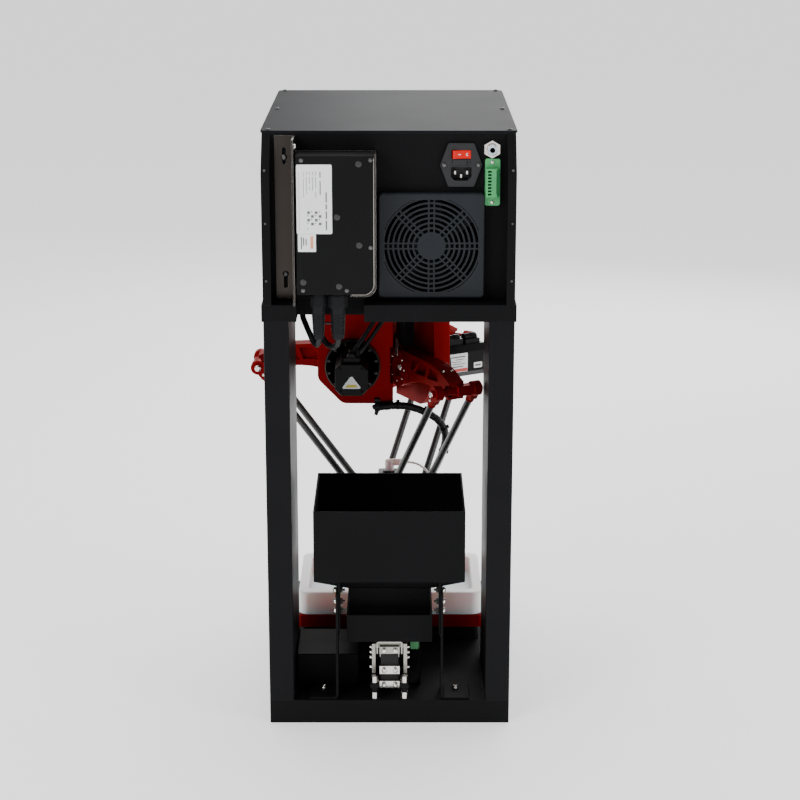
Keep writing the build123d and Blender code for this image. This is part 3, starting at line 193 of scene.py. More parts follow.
M = {
    "powder_black": finish_material("powder_black", (0.0055, 0.0055, 0.0062), 0.6, grain=1500,
                                    grain_strength=0.25, round_edge=0.0009, wear_and_edge_highlight=(0.03, 0.03, 0.032),
                                    specular=0.07, dust=0.012, rough_spread=0.04),
    "gloss_black": finish_material("gloss_black", (0.0072, 0.0072, 0.0082), 0.42, rough_spread=0.03,
                                   grain=260, grain_strength=0.04, round_edge=0.0012,
                                   wear_and_edge_highlight=(0.04, 0.04, 0.042), specular=0.07),
    "satin_black": finish_material("satin_black", (0.008, 0.0085, 0.0105), 0.55, grain=1500,
                                   grain_strength=0.2, rough_spread=0.01, variation=0.02,
                                   round_edge=0.001, wear_and_edge_highlight=(0.05, 0.05, 0.05), specular=0.05),
    "dark_aluminium": finish_material("dark_aluminium", (0.008, 0.008, 0.0085), 0.34, grain=1800,
                                      grain_strength=0.1, round_edge=0.0006, wear_and_edge_highlight=(0.06, 0.06, 0.06),
                                      specular=0.3),
    "black_screws": finish_material("black_screws", (0.1, 0.098, 0.095), 0.32, metallic=1.0, grain=900,
                                    grain_strength=0.08, variation=0.2),
    "black_plastic": finish_material("black_plastic", (0.014, 0.0165, 0.0205), 0.42, grain=1100,
                                     grain_strength=0.2, grain_depth=0.0002, round_edge=0.0006,
                                     wear_and_edge_highlight=(0.085, 0.09, 0.1), wear_and_highlight_amount=0.5, specular=0.18),
    "inlet_plastic": finish_material("inlet_plastic", (0.02, 0.0205, 0.0225), 0.42, grain=1300,
                                     grain_strength=0.2, round_edge=0.0006, wear_and_edge_highlight=(0.08, 0.08, 0.085),
                                     wear_and_highlight_amount=0.3, specular=0.3),
    "red_plastic": finish_material("red_plastic", (0.75, 0.008, 0.004), 0.3, grain=300,
                                   grain_strength=0.03, subsurface=0.05, specular=0.12,
                                   round_edge=0.0005),
    "bright_metal": finish_material("bright_metal", (0.82, 0.79, 0.75), 0.18, metallic=1.0, grain=700,
                                    grain_strength=0.08, variation=0.08, round_edge=0.0003),
    "green_plastic": finish_material("green_plastic", (0.055, 0.42, 0.13), 0.36, grain=900,
                                     grain_strength=0.12, round_edge=0.0004, wear_and_edge_highlight=(0.25, 0.7, 0.35),
                                     wear_and_highlight_amount=0.25, subsurface=0.05),
    "cast_black": finish_material("cast_black", (0.0065, 0.0065, 0.007), 0.5, grain=800,
                                  grain_strength=0.45, grain_depth=0.0002, round_edge=0.0008,
                                  wear_and_edge_highlight=(0.035, 0.035, 0.035), specular=0.08),
    "board_green": finish_material("board_green", (0.02, 0.16, 0.07), 0.4),
    "stainless": finish_material("stainless", (0.05, 0.043, 0.038), 0.36, metallic=1.0, grain=900,
                                 grain_strength=0.22, stretch=(1, 1, 0.012), variation=0.1,
                                 anisotropic=0.5, round_edge=0.0004, wear_and_edge_highlight=(0.8, 0.8, 0.8),
                                 wear_and_highlight_amount=0.9),
    "connector_black": finish_material("connector_black", (0.009, 0.0095, 0.0105), 0.36, grain=900,
                                       grain_strength=0.15, round_edge=0.0005, wear_and_edge_highlight=(0.05, 0.05, 0.055),
                                       specular=0.1),
    "cable_black": finish_material("cable_black", (0.006, 0.006, 0.0068), 0.42, grain=700,
                                   grain_strength=0.15, grain_depth=0.0002, specular=0.35),
    "zinc_steel": finish_material("zinc_steel", (0.42, 0.41, 0.37), 0.34, metallic=1.0, grain=500,
                                  grain_strength=0.15, variation=0.25, round_edge=0.0004,
                                  wear_and_edge_highlight=(0.8, 0.78, 0.7)),
    # Red anodised: the bright red edge colour is a painted highlight along the edges
    "red_anodised": finish_material("red_anodised", (0.185, 0.0032, 0.003), 0.34, metallic=0.3,
                                    grain=1500, grain_strength=0.1, variation=0.12, round_edge=0.0007,
                                    wear_and_edge_highlight=(0.9, 0.03, 0.025), wear_and_highlight_amount=0.8, specular=0.06),
    "servo_black": finish_material("servo_black", (0.0055, 0.0055, 0.006), 0.32, grain=1200,
                                   grain_strength=0.12, round_edge=0.0008, wear_and_edge_highlight=(0.05, 0.05, 0.05),
                                   specular=0.1),
    "carbon_tube": carbon_material("carbon_tube"),
    "nozzle_metal": finish_material("nozzle_metal", (0.62, 0.61, 0.6), 0.27, metallic=1.0, grain=1500,
                                    stretch=(0.02, 0.02, 1), grain_strength=0.1),
    "white_plastic": finish_material("white_plastic", (0.8, 0.8, 0.815), 0.42, variation=0.03,
                                     grain=900, grain_strength=0.06, subsurface=0.35, round_edge=0.001),
    "clear_tube": finish_material("clear_tube", (0.82, 0.82, 0.84), 0.2, variation=0.03, grain=600,
                                  grain_strength=0.03, subsurface=0.2, transmission=0.35),
    "spring_black": finish_material("spring_black", (0.006, 0.006, 0.006), 0.45, grain=700,
                                    stretch=(1, 1, 0.03), grain_strength=0.2, specular=0.3),
}
label_white = finish_material("label_white", (0.95, 0.955, 0.965), 0.4, variation=0.01, grain=900,
                              grain_strength=0.03)
ink_grey = finish_material("ink_grey", (0.12, 0.12, 0.13), 0.6, grain=3000, grain_strength=0.05)
ink_red = finish_material("ink_red", (0.65, 0.05, 0.04), 0.4, grain=1500, grain_strength=0.05)
ink_orange = finish_material("ink_orange", (0.8, 0.3, 0.16), 0.5, grain=1500, grain_strength=0.05)
ink_yellow = finish_material("ink_yellow", (0.62, 0.5, 0.03), 0.45, grain=1500, grain_strength=0.05)
mark_white = finish_material("mark_white", (0.9, 0.88, 0.86), 0.4, grain=1500, grain_strength=0.02)
plug_grey = finish_material("plug_grey", (0.021, 0.0215, 0.021), 0.38, grain=900, grain_strength=0.2)

red_shader = M["red_anodised"].node_tree.nodes["Principled BSDF"]
red_shader.inputs["Specular Tint"].default_value = (1, 0.2, 0.17, 1)

slot_of = {part["node"]: part["material_slot"] for part in frame["record"]["subparts"]}
for node_name, node in nodes.items():
    for index in range(max(1, len(node.material_slots))):
        if node.material_slots:
            node.material_slots[index].material = M[slot_of[node_name]]
        else:
            node.data.materials.append(M[slot_of[node_name]])


# ======================================================================================
# Mesh building
# ======================================================================================
def in_mm(*pairs):
    """Points of an outline or a profile, given in millimetres."""
    return [(a * MM, b * MM) for a, b in pairs]


def basis(axis, up=None):
    """Matrix whose Z is the axis, and whose X is as near as it can be to the given direction."""
    z = axis.normalized()
    seed = up or (X if abs(z.x) < 0.9 else Y)
    x = (seed - z * seed.dot(z)).normalized()
    return Matrix((x, z.cross(x), z)).transposed()


def add_lathe(bm, profile, origin, axis, segments=32, sides=0, up=None):
    """Turned shape: profile is (radius, height) along the axis, in metres.  Sides makes it a prism."""
    frame_matrix = basis(axis, up)
    count = sides or segments
    rings = []
    for radius, height in profile:
        if radius <= 0:
            rings.append([bm.verts.new(origin + frame_matrix @ Vector((0, 0, height)))])
            continue
        ring = []
        for k in range(count):
            a = 2 * pi * k / count
            corner = Vector((radius * cos(a), radius * sin(a), height))
            ring.append(bm.verts.new(origin + frame_matrix @ corner))
        rings.append(ring)
    for first, second in zip(rings, rings[1:]):
        for k in range(count):
            a, b = first[k % len(first)], first[(k + 1) % len(first)]
            c, d = second[(k + 1) % len(second)], second[k % len(second)]
            corners = [a, b, c, d]
            bm.faces.new([v for i, v in enumerate(corners) if v not in corners[:i]])
    for ring, flip in ((rings[0], True), (rings[-1], False)):
        if len(ring) > 1:
            bm.faces.new(ring[::-1] if flip else ring)


def add_prism(bm, outline, origin, axis, height, up=None):
    """Flat plate of the given outline, raised along the axis."""
    frame_matrix = basis(axis, up)
    under = [bm.verts.new(origin + frame_matrix @ Vector((x, y, 0))) for x, y in outline]
    over = [bm.verts.new(origin + frame_matrix @ Vector((x, y, height))) for x, y in outline]
    bm.faces.new(under[::-1])
    bm.faces.new(over)
    for k in range(len(outline)):
        n = (k + 1) % len(outline)
        bm.faces.new([under[k], under[n], over[n], over[k]])


def add_block(bm, lo, hi):
    add_prism(bm, [(lo[0], lo[1]), (hi[0], lo[1]), (hi[0], hi[1]), (lo[0], hi[1])], Vector((0, 0, lo[2])),
              Z, hi[2] - lo[2], up=X)


def rounded(width, height, radius, steps=5):
    """Outline of a rounded rectangle about the origin."""
    points = []
    for cx, cy, start in ((1, 1, 0), (-1, 1, 90), (-1, -1, 180), (1, -1, 270)):
        for k in range(steps + 1):
            a = radians(start + 90 * k / steps)
            points.append((cx * (width / 2 - radius) + radius * cos(a),
                           cy * (height / 2 - radius) + radius * sin(a)))
    return points


def piece(name, bm, material, body, bevel=0.0, smooth=35):
    """Turn a bmesh into a finished piece that rides on a body, if one is named."""
    bmesh.ops.recalc_face_normals(bm, faces=bm.faces[:])
    mesh = bpy.data.meshes.new(name)
    bm.to_mesh(mesh)
    bm.free()
    obj = bpy.data.objects.new(name, mesh)
    scene.collection.objects.link(obj)
    mesh.materials.append(material)
    for face in mesh.polygons:
        face.use_smooth = True
    mesh.set_sharp_from_angle(angle=radians(smooth))
    if bevel:
        modifier = obj.modifiers.new("bevel", "BEVEL")
        modifier.width = bevel
        modifier.segments = 2
        modifier.limit_method = "ANGLE"
        modifier.harden_normals = True
    if body:
        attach(obj, body)
    return obj


# ======================================================================================
# Cords
# ======================================================================================
def route_curve(name, route, radius, material):
    """Cord on one smooth curve through its given route, in metres."""
    curve = bpy.data.curves.new(name, "CURVE")
    curve.dimensions = "3D"
    curve.resolution_u = 12
    spline = curve.splines.new("NURBS")
    spline.points.add(len(route) - 1)
    for point, place in zip(spline.points, route):
        point.co = (*place, 1)
    spline.order_u = 3
    spline.use_endpoint_u = True
    curve.bevel_depth = radius
    curve.bevel_resolution = 6
    curve.use_fill_caps = True
    curve.materials.append(material)
    obj = bpy.data.objects.new(name, curve)
    scene.collection.objects.link(obj)
    return obj


def centreline(route):
    """Points along the smooth curve of a route."""
    probe = route_curve("probe", route, 0, M["cable_black"])
    probe.data.bevel_depth = 0
    probe.data.use_fill_caps = False
    bpy.context.view_layer.update()
    mesh = bpy.data.meshes.new_from_object(probe)
    points = [v.co.copy() for v in mesh.vertices]
    bpy.data.meshes.remove(mesh)
    bpy.data.objects.remove(probe)
    return points


data_route = [(-.083, -.205, .490), (-.083, -.205, .485), (-.0855, -.201, .481), (-.089, -.195, .482),
              (-.093, -.188, .4885), (-.0975, -.178, .496), (-.1015, -.166, .502), (-.104, -.156, .5045),
              (-.104, -.156, .511)]
power_route = [(-.060, -.205, .490), (-.060, -.205, .4845), (-.0635, -.200, .4785), (-.071, -.191, .477),
               (-.079, -.181, .483), (-.0835, -.170, .491), (-.0875, -.1575, .4985), (-.090, -.147, .504),
               (-.090, -.147, .511)]
tube_route = [(.018, .060, .255), (.027, .060, .255), (.0365, .0606, .2525), (.045, .0614, .2465),
              (.051, .062, .239), (.054, .0625, .2315), (.054, .0625, .224)]
hose_route = [(-.013, .0155, .3444), (-.006, .0155, .3444), (.003, .0152, .346), (.017, .0145, .3463),
              (.033, .014, .343), (.048, .0135, .337), (.061, .0135, .329), (.0695, .015, .318),
              (.073, .0185, .305), (.072, .0225, .291), (.067, .029, .273), (.0605, .039, .255),
              (.055, .049, .242), (.054, .054, .233), (.054, .054, .224)]
motor_routes = [
    [(-.048, -.036, .425), (-.048, -.036, .429), (-.0425, -.0335, .435), (-.0335, -.0285, .4475),
     (-.021, -.0215, .466), (-.0095, -.014, .483), (0, -.008, .496), (.004, -.0055, .504),
     (.004, -.0055, .511)],
    [(-.041, -.036, .425), (-.041, -.036, .428), (-.035, -.0335, .4335), (-.025, -.0285, .4455),
     (-.011, -.0215, .465), (.0015, -.014, .482), (.010, -.008, .495), (.013, -.0055, .5035),
     (.013, -.0055, .511)]]

for cable_name, route, length in (("data_cable", data_route, 0.0712), ("power_cable", power_route, 0.0870)):
    cable = route_curve(cable_name, route, 3.5 * MM, M["cable_black"])
    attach(cable, "root")
    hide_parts("controller_cables")

for index, (route, length) in enumerate(zip(motor_routes, (0.1071, 0.1085))):
    cable = route_curve(f"motor_cable_{index + 1}", route, 2.9 * MM, M["cable_black"])
    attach(cable, "root")
    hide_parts("motor_cables")

tube = route_curve("air_hose", tube_route, 1.6 * MM, M["clear_tube"])
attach(tube, "platform")
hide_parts("air_tube")


def wrapped_hose(name, route, radius, pitch, groove, segments=40):
    """Bundle in a spiral wrap: the radius dips by the groove along a helix."""
    line = centreline(route)
    points = [line[0]]
    step = 0.9 * MM
    for a, b in zip(line, line[1:]):
        count = max(1, round((b - a).length / step))
        points += [a.lerp(b, k / count) for k in range(1, count + 1)]
    bm = bmesh.new()
    rings = []
    travelled = 0.0
    side = X
    for k, place in enumerate(points):
        ahead = (points[min(k + 1, len(points) - 1)] - points[max(k - 1, 0)]).normalized()
        if k:
            travelled += (place - points[k - 1]).length
        side = (side - ahead * side.dot(ahead)).normalized() if abs(side.dot(ahead)) < 0.99 else Y
        other = ahead.cross(side)
        ring = []
        for j in range(segments):
            a = 2 * pi * j / segments
            phase = (travelled / pitch - j / segments) % 1.0
            dip = groove if phase > 0.78 else 0.0
            ring.append(bm.verts.new(place + (side * cos(a) + other * sin(a)) * (radius - dip)))
        rings.append(ring)
    for first, second in zip(rings, rings[1:]):
        for j in range(segments):
            n = (j + 1) % segments
            bm.faces.new([first[j], first[n], second[n], second[j]])
    bm.faces.new(rings[0][::-1])
    bm.faces.new(rings[-1])
    bmesh.ops.recalc_face_normals(bm, faces=bm.faces[:])
    mesh = bpy.data.meshes.new(name)
    bm.to_mesh(mesh)
    bm.free()
    for face in mesh.polygons:
        face.use_smooth = True
    mesh.materials.append(M["cable_black"])
    obj = bpy.data.objects.new(name, mesh)
    scene.collection.objects.link(obj)
    return obj, line


HOSE_RADIUS = 5.0 * MM
hose, hose_line = wrapped_hose("hose_wrap", hose_route, HOSE_RADIUS, 9 * MM, 0.55 * MM)
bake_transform(hose)
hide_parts("hose_bundle")


# ======================================================================================
# Screws: button and pan heads with their recesses, and the hopper's nuts
# ======================================================================================
def add_socket_head(bm, origin, axis, radius, height, recess="hex"):
    """Domed head with a hexagon or cross recess; origin is the middle of its seat."""
    dome = [(radius * 0.98, 0), (radius, height * 0.18), (radius * 0.93, height * 0.55),
            (radius * 0.74, height * 0.86), (radius * 0.52, height)]
    if recess == "hex":
        add_lathe(bm, [*dome, (radius * 0.50, height), (radius * 0.46, height * 0.94),
                       (radius * 0.44, height * 0.3), (0, height * 0.22)], origin, axis, 36)
        return
    add_lathe(bm, [*dome, (0, height * 1.04)], origin, axis, 36)


def add_cross(bm, origin, axis, size, depth):
    """Dark cross of a cross-head screw, a hair proud of the dome."""
    arm, half = size * 0.16, size / 2
    outline = [(-arm, -half), (arm, -half), (arm, -arm), (half, -arm), (half, arm), (arm, arm),
               (arm, half), (-arm, half), (-arm, arm), (-half, arm), (-half, -arm), (-arm, -arm)]
    add_prism(bm, outline, origin, axis, depth)


lid_low, lid_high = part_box("lid")
cover_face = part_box("controller_cover")[0].y
panel_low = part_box("rear_panel")[0]
inlet_low, inlet_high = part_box("inlet_body")
leg_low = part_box("hopper_legs")[0]
inlet_centre = (inlet_low + inlet_high) / 2
inlet_face = inlet_low.y

screws = bmesh.new()
crosses = bmesh.new()
leg_bolts = bmesh.new()
for x in (lid_low.x + 9 * MM, lid_high.x - 9 * MM):
    for y in (lid_low.y + 9 * MM, 0.015, lid_high.y - 9 * MM):
        add_socket_head(screws, Vector((x, y, lid_high.z)), Z, 3.0 * MM, 1.8 * MM)
for x, z in ((-.1005, .7037), (-.021, .704), (-.021, .602), (-.100, .5513), (-.049, .5513)):
    add_socket_head(screws, Vector((x, cover_face, z)), REAR, 2.6 * MM, 1.0 * MM, "cross")
    add_cross(crosses, Vector((x, cover_face - 1.0 * MM, z)), REAR, 2.6 * MM, 0.08 * MM)
carrier_face = panel_low.y - 2 * MM
for x, z in ((-.122, .7015), (-.122, .563)):
    add_socket_head(screws, Vector((x, carrier_face, z)), REAR, 3.6 * MM, 2.2 * MM, "cross")
    add_cross(crosses, Vector((x, carrier_face - 2.22 * MM, z)), REAR, 3.8 * MM, 0.08 * MM)
for x in (-20 * MM, 20 * MM):
    seat = Vector((inlet_centre.x + x, inlet_face, inlet_centre.z))
    add_socket_head(screws, seat, REAR, 3.0 * MM, 1.8 * MM, "cross")
    add_cross(crosses, seat + REAR * 1.82 * MM, REAR, 3.0 * MM, 0.08 * MM)
for side in (-1, 1):
    for y in (-.168, 0, .190):
        for z in (.560, .700):
            add_socket_head(screws, Vector((side * .148, y, z)), X * side, 2.8 * MM, 1.6 * MM)
    for z in (.690, .628, .560):
        add_socket_head(screws, Vector((side * .1435, -.2102, z)), REAR, 1.5 * MM, 0.7 * MM)
    for z in (.166, .151, .139):
        add_socket_head(leg_bolts, Vector((side * .0659, -.184, z)), X * side, 3.6 * MM, 3.6 * MM)
        add_lathe(screws, in_mm((3.0, 0), (3.6, 0.4), (3.6, 2.8), (3.0, 3.2)),
                  Vector((side * .0608, -.184, z)), X * -side, sides=6)
        add_lathe(screws, in_mm((1.6, 0), (1.6, 2.8)), Vector((side * .0576, -.184, z)), X * -side, 20)
    add_socket_head(leg_bolts, Vector((side * .082, -.178, leg_low.z + 2.5 * MM)), Z, 4.0 * MM, 3.6 * MM)
screw_piece = piece("screws", screws, M["black_screws"], "root")
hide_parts("machine_screws")
piece("screw_crosses", crosses, ink_grey, "root")
piece("leg_bolts", leg_bolts, M["bright_metal"], "root")

# ======================================================================================
# Controller cover: two labels with plain rules, and round blanking plugs
# ======================================================================================
labels = bmesh.new()
add_prism(labels, rounded(.0408, .0806, .0016), Vector((-.0858, cover_face, .6586)), REAR, 0.15 * MM, up=X)
add_prism(labels, rounded(.0208, .0208, .0008), Vector((-.0947, cover_face, .6077)), REAR, 0.12 * MM, up=X)
piece("controller_labels", labels, label_white, "root")


def rule(bm, x, z_top, z_bottom, width, y):
    """One printed rule, running down the label."""
    add_block(bm, (x - width / 2, y - 0.05 * MM, z_bottom), (x + width / 2, y, z_top))


label_face = cover_face - 0.15 * MM
rules = bmesh.new()
label_left, label_top = -.1062, .6989
label_columns = (    # distance from the label's left, rule width, and each rule's ends below its top, in mm
    (3.0, 0.35, [(8, 77)]), (8.2, 0.5, [(8, 14), (16, 38)]), (11.6, 0.6, [(8, 12), (14, 33)]),
    (15.2, 0.6, [(8, 12), (14, 22), (26, 29)]), (18.8, 0.6, [(8, 12), (14, 30)]),
    (22.4, 0.6, [(8, 12), (14, 28), (31, 38)]), (27.4, 1.3, [(8, 15), (19, 35)]),
    (34.2, 1.6, [(32, 44), (46, 52), (54, 63), (65, 76)]), (12.5, 0.5, [(73, 76)]))
for offset, width, dashes in label_columns:
    for top, bottom in dashes:
        rule(rules, label_left + offset * MM, label_top - top * MM, label_top - bottom * MM, width * MM,
             label_face)
for row in range(4):
    for column in range(4):
        size = 3.2 * MM if (row + column) % 2 == 0 else 1.4 * MM
        x = label_left + (12.2 + 4.4 * column) * MM
        z = label_top - (54 + 4.4 * row) * MM
        add_block(rules, (x, label_face - 0.05 * MM, z - size), (x + size, label_face, z))
piece("label_rules", rules, ink_grey, "root")

small_rules = bmesh.new()
for offset, z_top, z_bottom in ((4.0, .6150, .6005), (6.6, .6140, .6045), (9.4, .6125, .6050)):
    rule(small_rules, -.1051 + offset * MM, z_top, z_bottom, 1.3 * MM, cover_face - 0.12 * MM)
piece("small_label_rules", small_rules, ink_grey, "root")
orange_rule = bmesh.new()
rule(orange_rule, -.0890, .6155, .6010, 3.2 * MM, cover_face - 0.12 * MM)
piece("small_label_band", orange_rule, ink_orange, "root")

blanks = bmesh.new()
for x, z in ((-.0346, .6996), (-.0597, .6379), (-.0342, .6049), (-.0995, .5612), (-.0579, .5562)):
    add_lathe(blanks, in_mm((3.6, 0), (3.6, 0.35), (3.2, 0.6), (2.2, 0.6),
                       (2.0, 0.35), (0, 0.35)), Vector((x, cover_face, z)), REAR, 32)
piece("blanking_plugs", blanks, plug_grey, "root")

# Painted highlight: thin bright strip down the right of the cover and round its lower corner, where its
# edge catches light
cover_low, cover_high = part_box("controller_cover")
edge_radius, corner_radius, run_in = 0.4 * MM, 12 * MM, 14 * MM
edge_x, edge_y, edge_z = cover_high.x - 0.22 * MM, cover_face + 0.22 * MM, cover_low.z + 0.22 * MM
edge_line = [Vector((edge_x, edge_y, cover_high.z - 3 * MM))]
for k in range(11):
    a = radians(9 * k)
    edge_line.append(Vector((edge_x - corner_radius * (1 - cos(a)), edge_y,
                             edge_z + corner_radius * (1 - sin(a)))))
edge_line.append(edge_line[-1] - X * run_in)
cover_highlight_strip = bmesh.new()
for first, second in zip(edge_line, edge_line[1:]):
    run = second - first
    add_lathe(cover_highlight_strip, [(edge_radius, 0), (edge_radius, run.length)], first, run, 16)
piece("cover_edge_highlight", cover_highlight_strip, M["zinc_steel"], "root")

# Ground screw high on the carrier's web
web_screw = bmesh.new()
add_socket_head(web_screw, Vector((-.1095, -.204, .7165)), X, 3.8 * MM, 2.8 * MM, "cross")
piece("carrier_screw", web_screw, M["bright_metal"], "root")

# ======================================================================================
# Rocker marks, air port, terminal block
# ======================================================================================
rocker_low, rocker_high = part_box("rocker")
rocker_centre = (rocker_low + rocker_high) / 2
tilt = radians(9.0)
across = Vector((cos(tilt), sin(tilt), 0))
outward = Vector((sin(tilt), -cos(tilt), 0))
rocker_pivot = Vector((inlet_centre.x, inlet_face + 2.0 * MM, rocker_centre.z))
marks = bmesh.new()
bar_place = rocker_pivot + across * (-2.6 * MM) + outward * 2.62 * MM
add_prism(marks, rounded(3.4 * MM, 0.9 * MM, 0.3 * MM), bar_place, outward, 0.12 * MM, up=across)
ring_place = rocker_pivot + across * (6.6 * MM) + outward * 3.15 * MM
add_lathe(marks, in_mm((1.15, 0), (1.75, 0), (1.75, 0.25), (1.15, 0.25),
                  (1.15, 0)), ring_place, outward, 28)
piece("rocker_marks", marks, mark_white, "rocker")

# White collar of the push-in air port
port_low, port_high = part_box("air_fitting")
port_centre = (port_low + port_high) / 2
collar = bmesh.new()
add_lathe(collar, in_mm((3.1, 0), (5.7, 0), (5.7, 0.8), (5.1, 1.3),
                   (3.6, 1.3), (3.1, 0.9), (3.1, 0)),
          Vector((port_centre.x, port_low.y, port_centre.z)), REAR, 40)
piece("air_port_collar", collar, M["white_plastic"], "root")
bore = bmesh.new()
add_lathe(bore, in_mm((2.99, 0), (0, 0)), Vector((port_centre.x, port_low.y + 8 * MM, port_centre.z)), REAR,
          32)
piece("air_port_seat", bore, M["cable_black"], "root")

# Terminal block: two flange screws, and the dark keying slot on its right
block_low, block_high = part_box("terminal_block")
block_x, block_z = (block_low.x + block_high.x) / 2, (block_low.z + block_high.z) / 2
terminal_screws = bmesh.new()
for z in (block_z - 23.5 * MM, block_z + 23.5 * MM):
    add_socket_head(terminal_screws, Vector((block_x - 0.5 * MM, panel_low.y - 5 * MM, z)), REAR,
                    2.2 * MM, 1.2 * MM, "cross")
piece("terminal_screws", terminal_screws, M["bright_metal"], "root")
keying = bmesh.new()
add_block(keying, (block_x + 4.2 * MM, block_low.y - 0.05 * MM, block_z - 13 * MM),
          (block_x + 5.0 * MM, block_low.y + 0.3 * MM, block_z + 15 * MM))
piece("terminal_key_slot", keying, M["cable_black"], "root")

# ======================================================================================
# Cable connectors: knurled nuts and corrugated boots over the plugs
# ======================================================================================
boots = bmesh.new()
PLUG_Y, BOOT_TAPER = -.205, 0.0524
plug_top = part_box("cable_connectors")[1].z
for x, shell, nut in ((-.083, 8.2, 8.8), (-.060, 9.2, 11.0)):
    top = Vector((x, PLUG_Y, plug_top - 3 * MM))
    for k in range(30):
        a = 2 * pi * k / 30
        out = Vector((cos(a), sin(a), 0))
        add_prism(boots, rounded(1.0 * MM, 1.1 * MM, 0.3 * MM, 2), top + out * nut * MM - Z * 13.5 * MM, Z,
                  12 * MM, up=out)
    for ring in range(9):
        z = plug_top - (27 + 2.8 * ring) * MM
        radius = (shell - (ring * 2.8 + 13) * BOOT_TAPER + 0.15) * MM
        add_lathe(boots, [(radius - 0.8 * MM, -1.0 * MM), (radius + 0.35 * MM, -0.7 * MM),
                          (radius + 0.45 * MM, 0), (radius + 0.35 * MM, 0.7 * MM),
                          (radius - 0.8 * MM, 1.0 * MM)],
                  Vector((x, PLUG_Y, z)), Z, 40)
piece("connector_ribs", boots, M["connector_black"], "root")

# Cable tie between the two plugs
tie = bmesh.new()
add_block(tie, (-.0765, -.2075, .5075), (-.067, -.2035, .5095))
piece("plug_tie", tie, M["cable_black"], "root", bevel=0.4 * MM)

# ======================================================================================
# Robot details
# ======================================================================================
robot = Vector((-.002, .060, 0))
axis_r, axis_z = 46.5 * MM, 398 * MM    # hub axes: distance from the robot's centre, and height
REDUCER_FACE, SERVO_END = .046, .112    # along a hub's axis
SERVO_HALF, LABEL_T = 21 * MM, 0.2 * MM
ARMS = {"a": 180, "b": 300, "c": 60}    # direction of each arm, in degrees


def arm_frame(letter):
    """Outward direction, and the direction from the hub to its motor, for one arm."""
    a = radians(ARMS[letter])
    return Vector((cos(a), sin(a), 0)), Vector((-sin(a), cos(a), 0))


def servo_face(letter):
    """Middle of the servo's end face, and its outward normal."""
    out, w = arm_frame(letter)
    return robot + out * axis_r + w * SERVO_END + Z * axis_z, w


# Plain white plate with rounded corners and one yellow bar, on the end face of the rear motor
face_centre, face_normal = servo_face("a")
triangle_outline = []
for corner in range(3):
    middle = radians(90 + 120 * corner)
    for k in range(6):
        a = middle + radians(-60 + 24 * k)
        triangle_outline.append(((10.75 * cos(middle) + 2.05 * cos(a)) * MM,
                                 (8.4 * sin(middle) + 1.6 * sin(a)) * MM))
badge = bmesh.new()
badge_place = face_centre + Z * (-5.5 * MM)
add_prism(badge, triangle_outline, badge_place, face_normal, LABEL_T, up=X)
piece("motor_badge", badge, label_white, "root")
badge_bar = bmesh.new()
add_prism(badge_bar, in_mm((-8.2, -2.1), (8.2, -2.1), (5.4, 1.6), (-5.4, 1.6)),
          badge_place + face_normal * LABEL_T - Z * 2.0 * MM, face_normal, 0.06 * MM, up=X)
piece("badge_bar", badge_bar, ink_yellow, "root")

# Screws round the end of each motor, and caps over its two connectors
motor_screws = bmesh.new()
motor_plugs = bmesh.new()
for letter in ARMS:
    out, w = arm_frame(letter)
    centre, normal = servo_face(letter)
    for su, sz in ((-1, -1), (-1, 1), (1, -1), (1, 1)):
        add_socket_head(motor_screws, centre + out * su * 13.5 * MM + Z * sz * 15 * MM, normal,
                        1.7 * MM, 1.0 * MM)
    for along, length in ((21, 24), (49, 20)):
        place = robot + out * axis_r + w * (46 + along - length / 2) * MM + Z * (axis_z + 27.5 * MM)
        add_lathe(motor_plugs, [(3.0 * MM, 0), (5.2 * MM, 1.2 * MM), (5.2 * MM, (length - 8) * MM),
                                (5.9 * MM, (length - 8) * MM), (5.9 * MM, (length - 2) * MM),
                                (5.0 * MM, length * MM)], place, w, 28)
piece("motor_screws", motor_screws, M["servo_black"], "root")
piece("motor_plugs", motor_plugs, M["servo_black"], "root")
cable_collars = bmesh.new()
for route in motor_routes:
    add_lathe(cable_collars, in_mm((4.6, -6), (4.6, -2), (3.9, 0), (3.7, 6),
                              (3.2, 9)), Vector(route[0]), Z, 28)
piece("motor_cable_collars", cable_collars, M["connector_black"], "root")

# Labels on the side of the second motor: plain white plate with a red band, and a small plate
out_b, w_b = arm_frame("b")
side_normal = out_b if out_b.y < 0 else -out_b
servo_side = robot + out_b * axis_r + side_normal * SERVO_HALF + Z * axis_z
plates = bmesh.new()
add_prism(plates, rounded(.029, .025, .001), servo_side + w_b * .066, side_normal, LABEL_T, up=w_b)
add_prism(plates, rounded(.0125, .0075, .0008), servo_side + w_b * .0965 - Z * .006, side_normal, LABEL_T,
          up=w_b)
piece("motor_labels", plates, label_white, "root")
band = bmesh.new()
add_prism(band, rounded(.0285, .0042, .0005), servo_side + side_normal * LABEL_T + w_b * .066 - Z * .0098,
          side_normal, 0.06 * MM, up=w_b)
piece("motor_label_band", band, ink_red, "root")
lines = bmesh.new()
for shift, width, height, z in ((0, 22, 1.6, 8.0), (2, 12, 0.9, 4.6), (-3, 14, 0.8, 1.6),
                                (1, 20, 0.8, -1.4), (-1, 18, 1.3, -5.0)):
    add_prism(lines, rounded(width * MM, height * MM, 0.2 * MM, 2),
              servo_side + side_normal * LABEL_T + w_b * (66 + shift) * MM + Z * z * MM, side_normal,
              0.05 * MM, up=w_b)
add_prism(lines, rounded(9 * MM, 2.2 * MM, 0.2 * MM, 2),
          servo_side + side_normal * LABEL_T + w_b * .0965 - Z * .006, side_normal, 0.05 * MM, up=w_b)
piece("motor_label_rules", lines, ink_grey, "root")

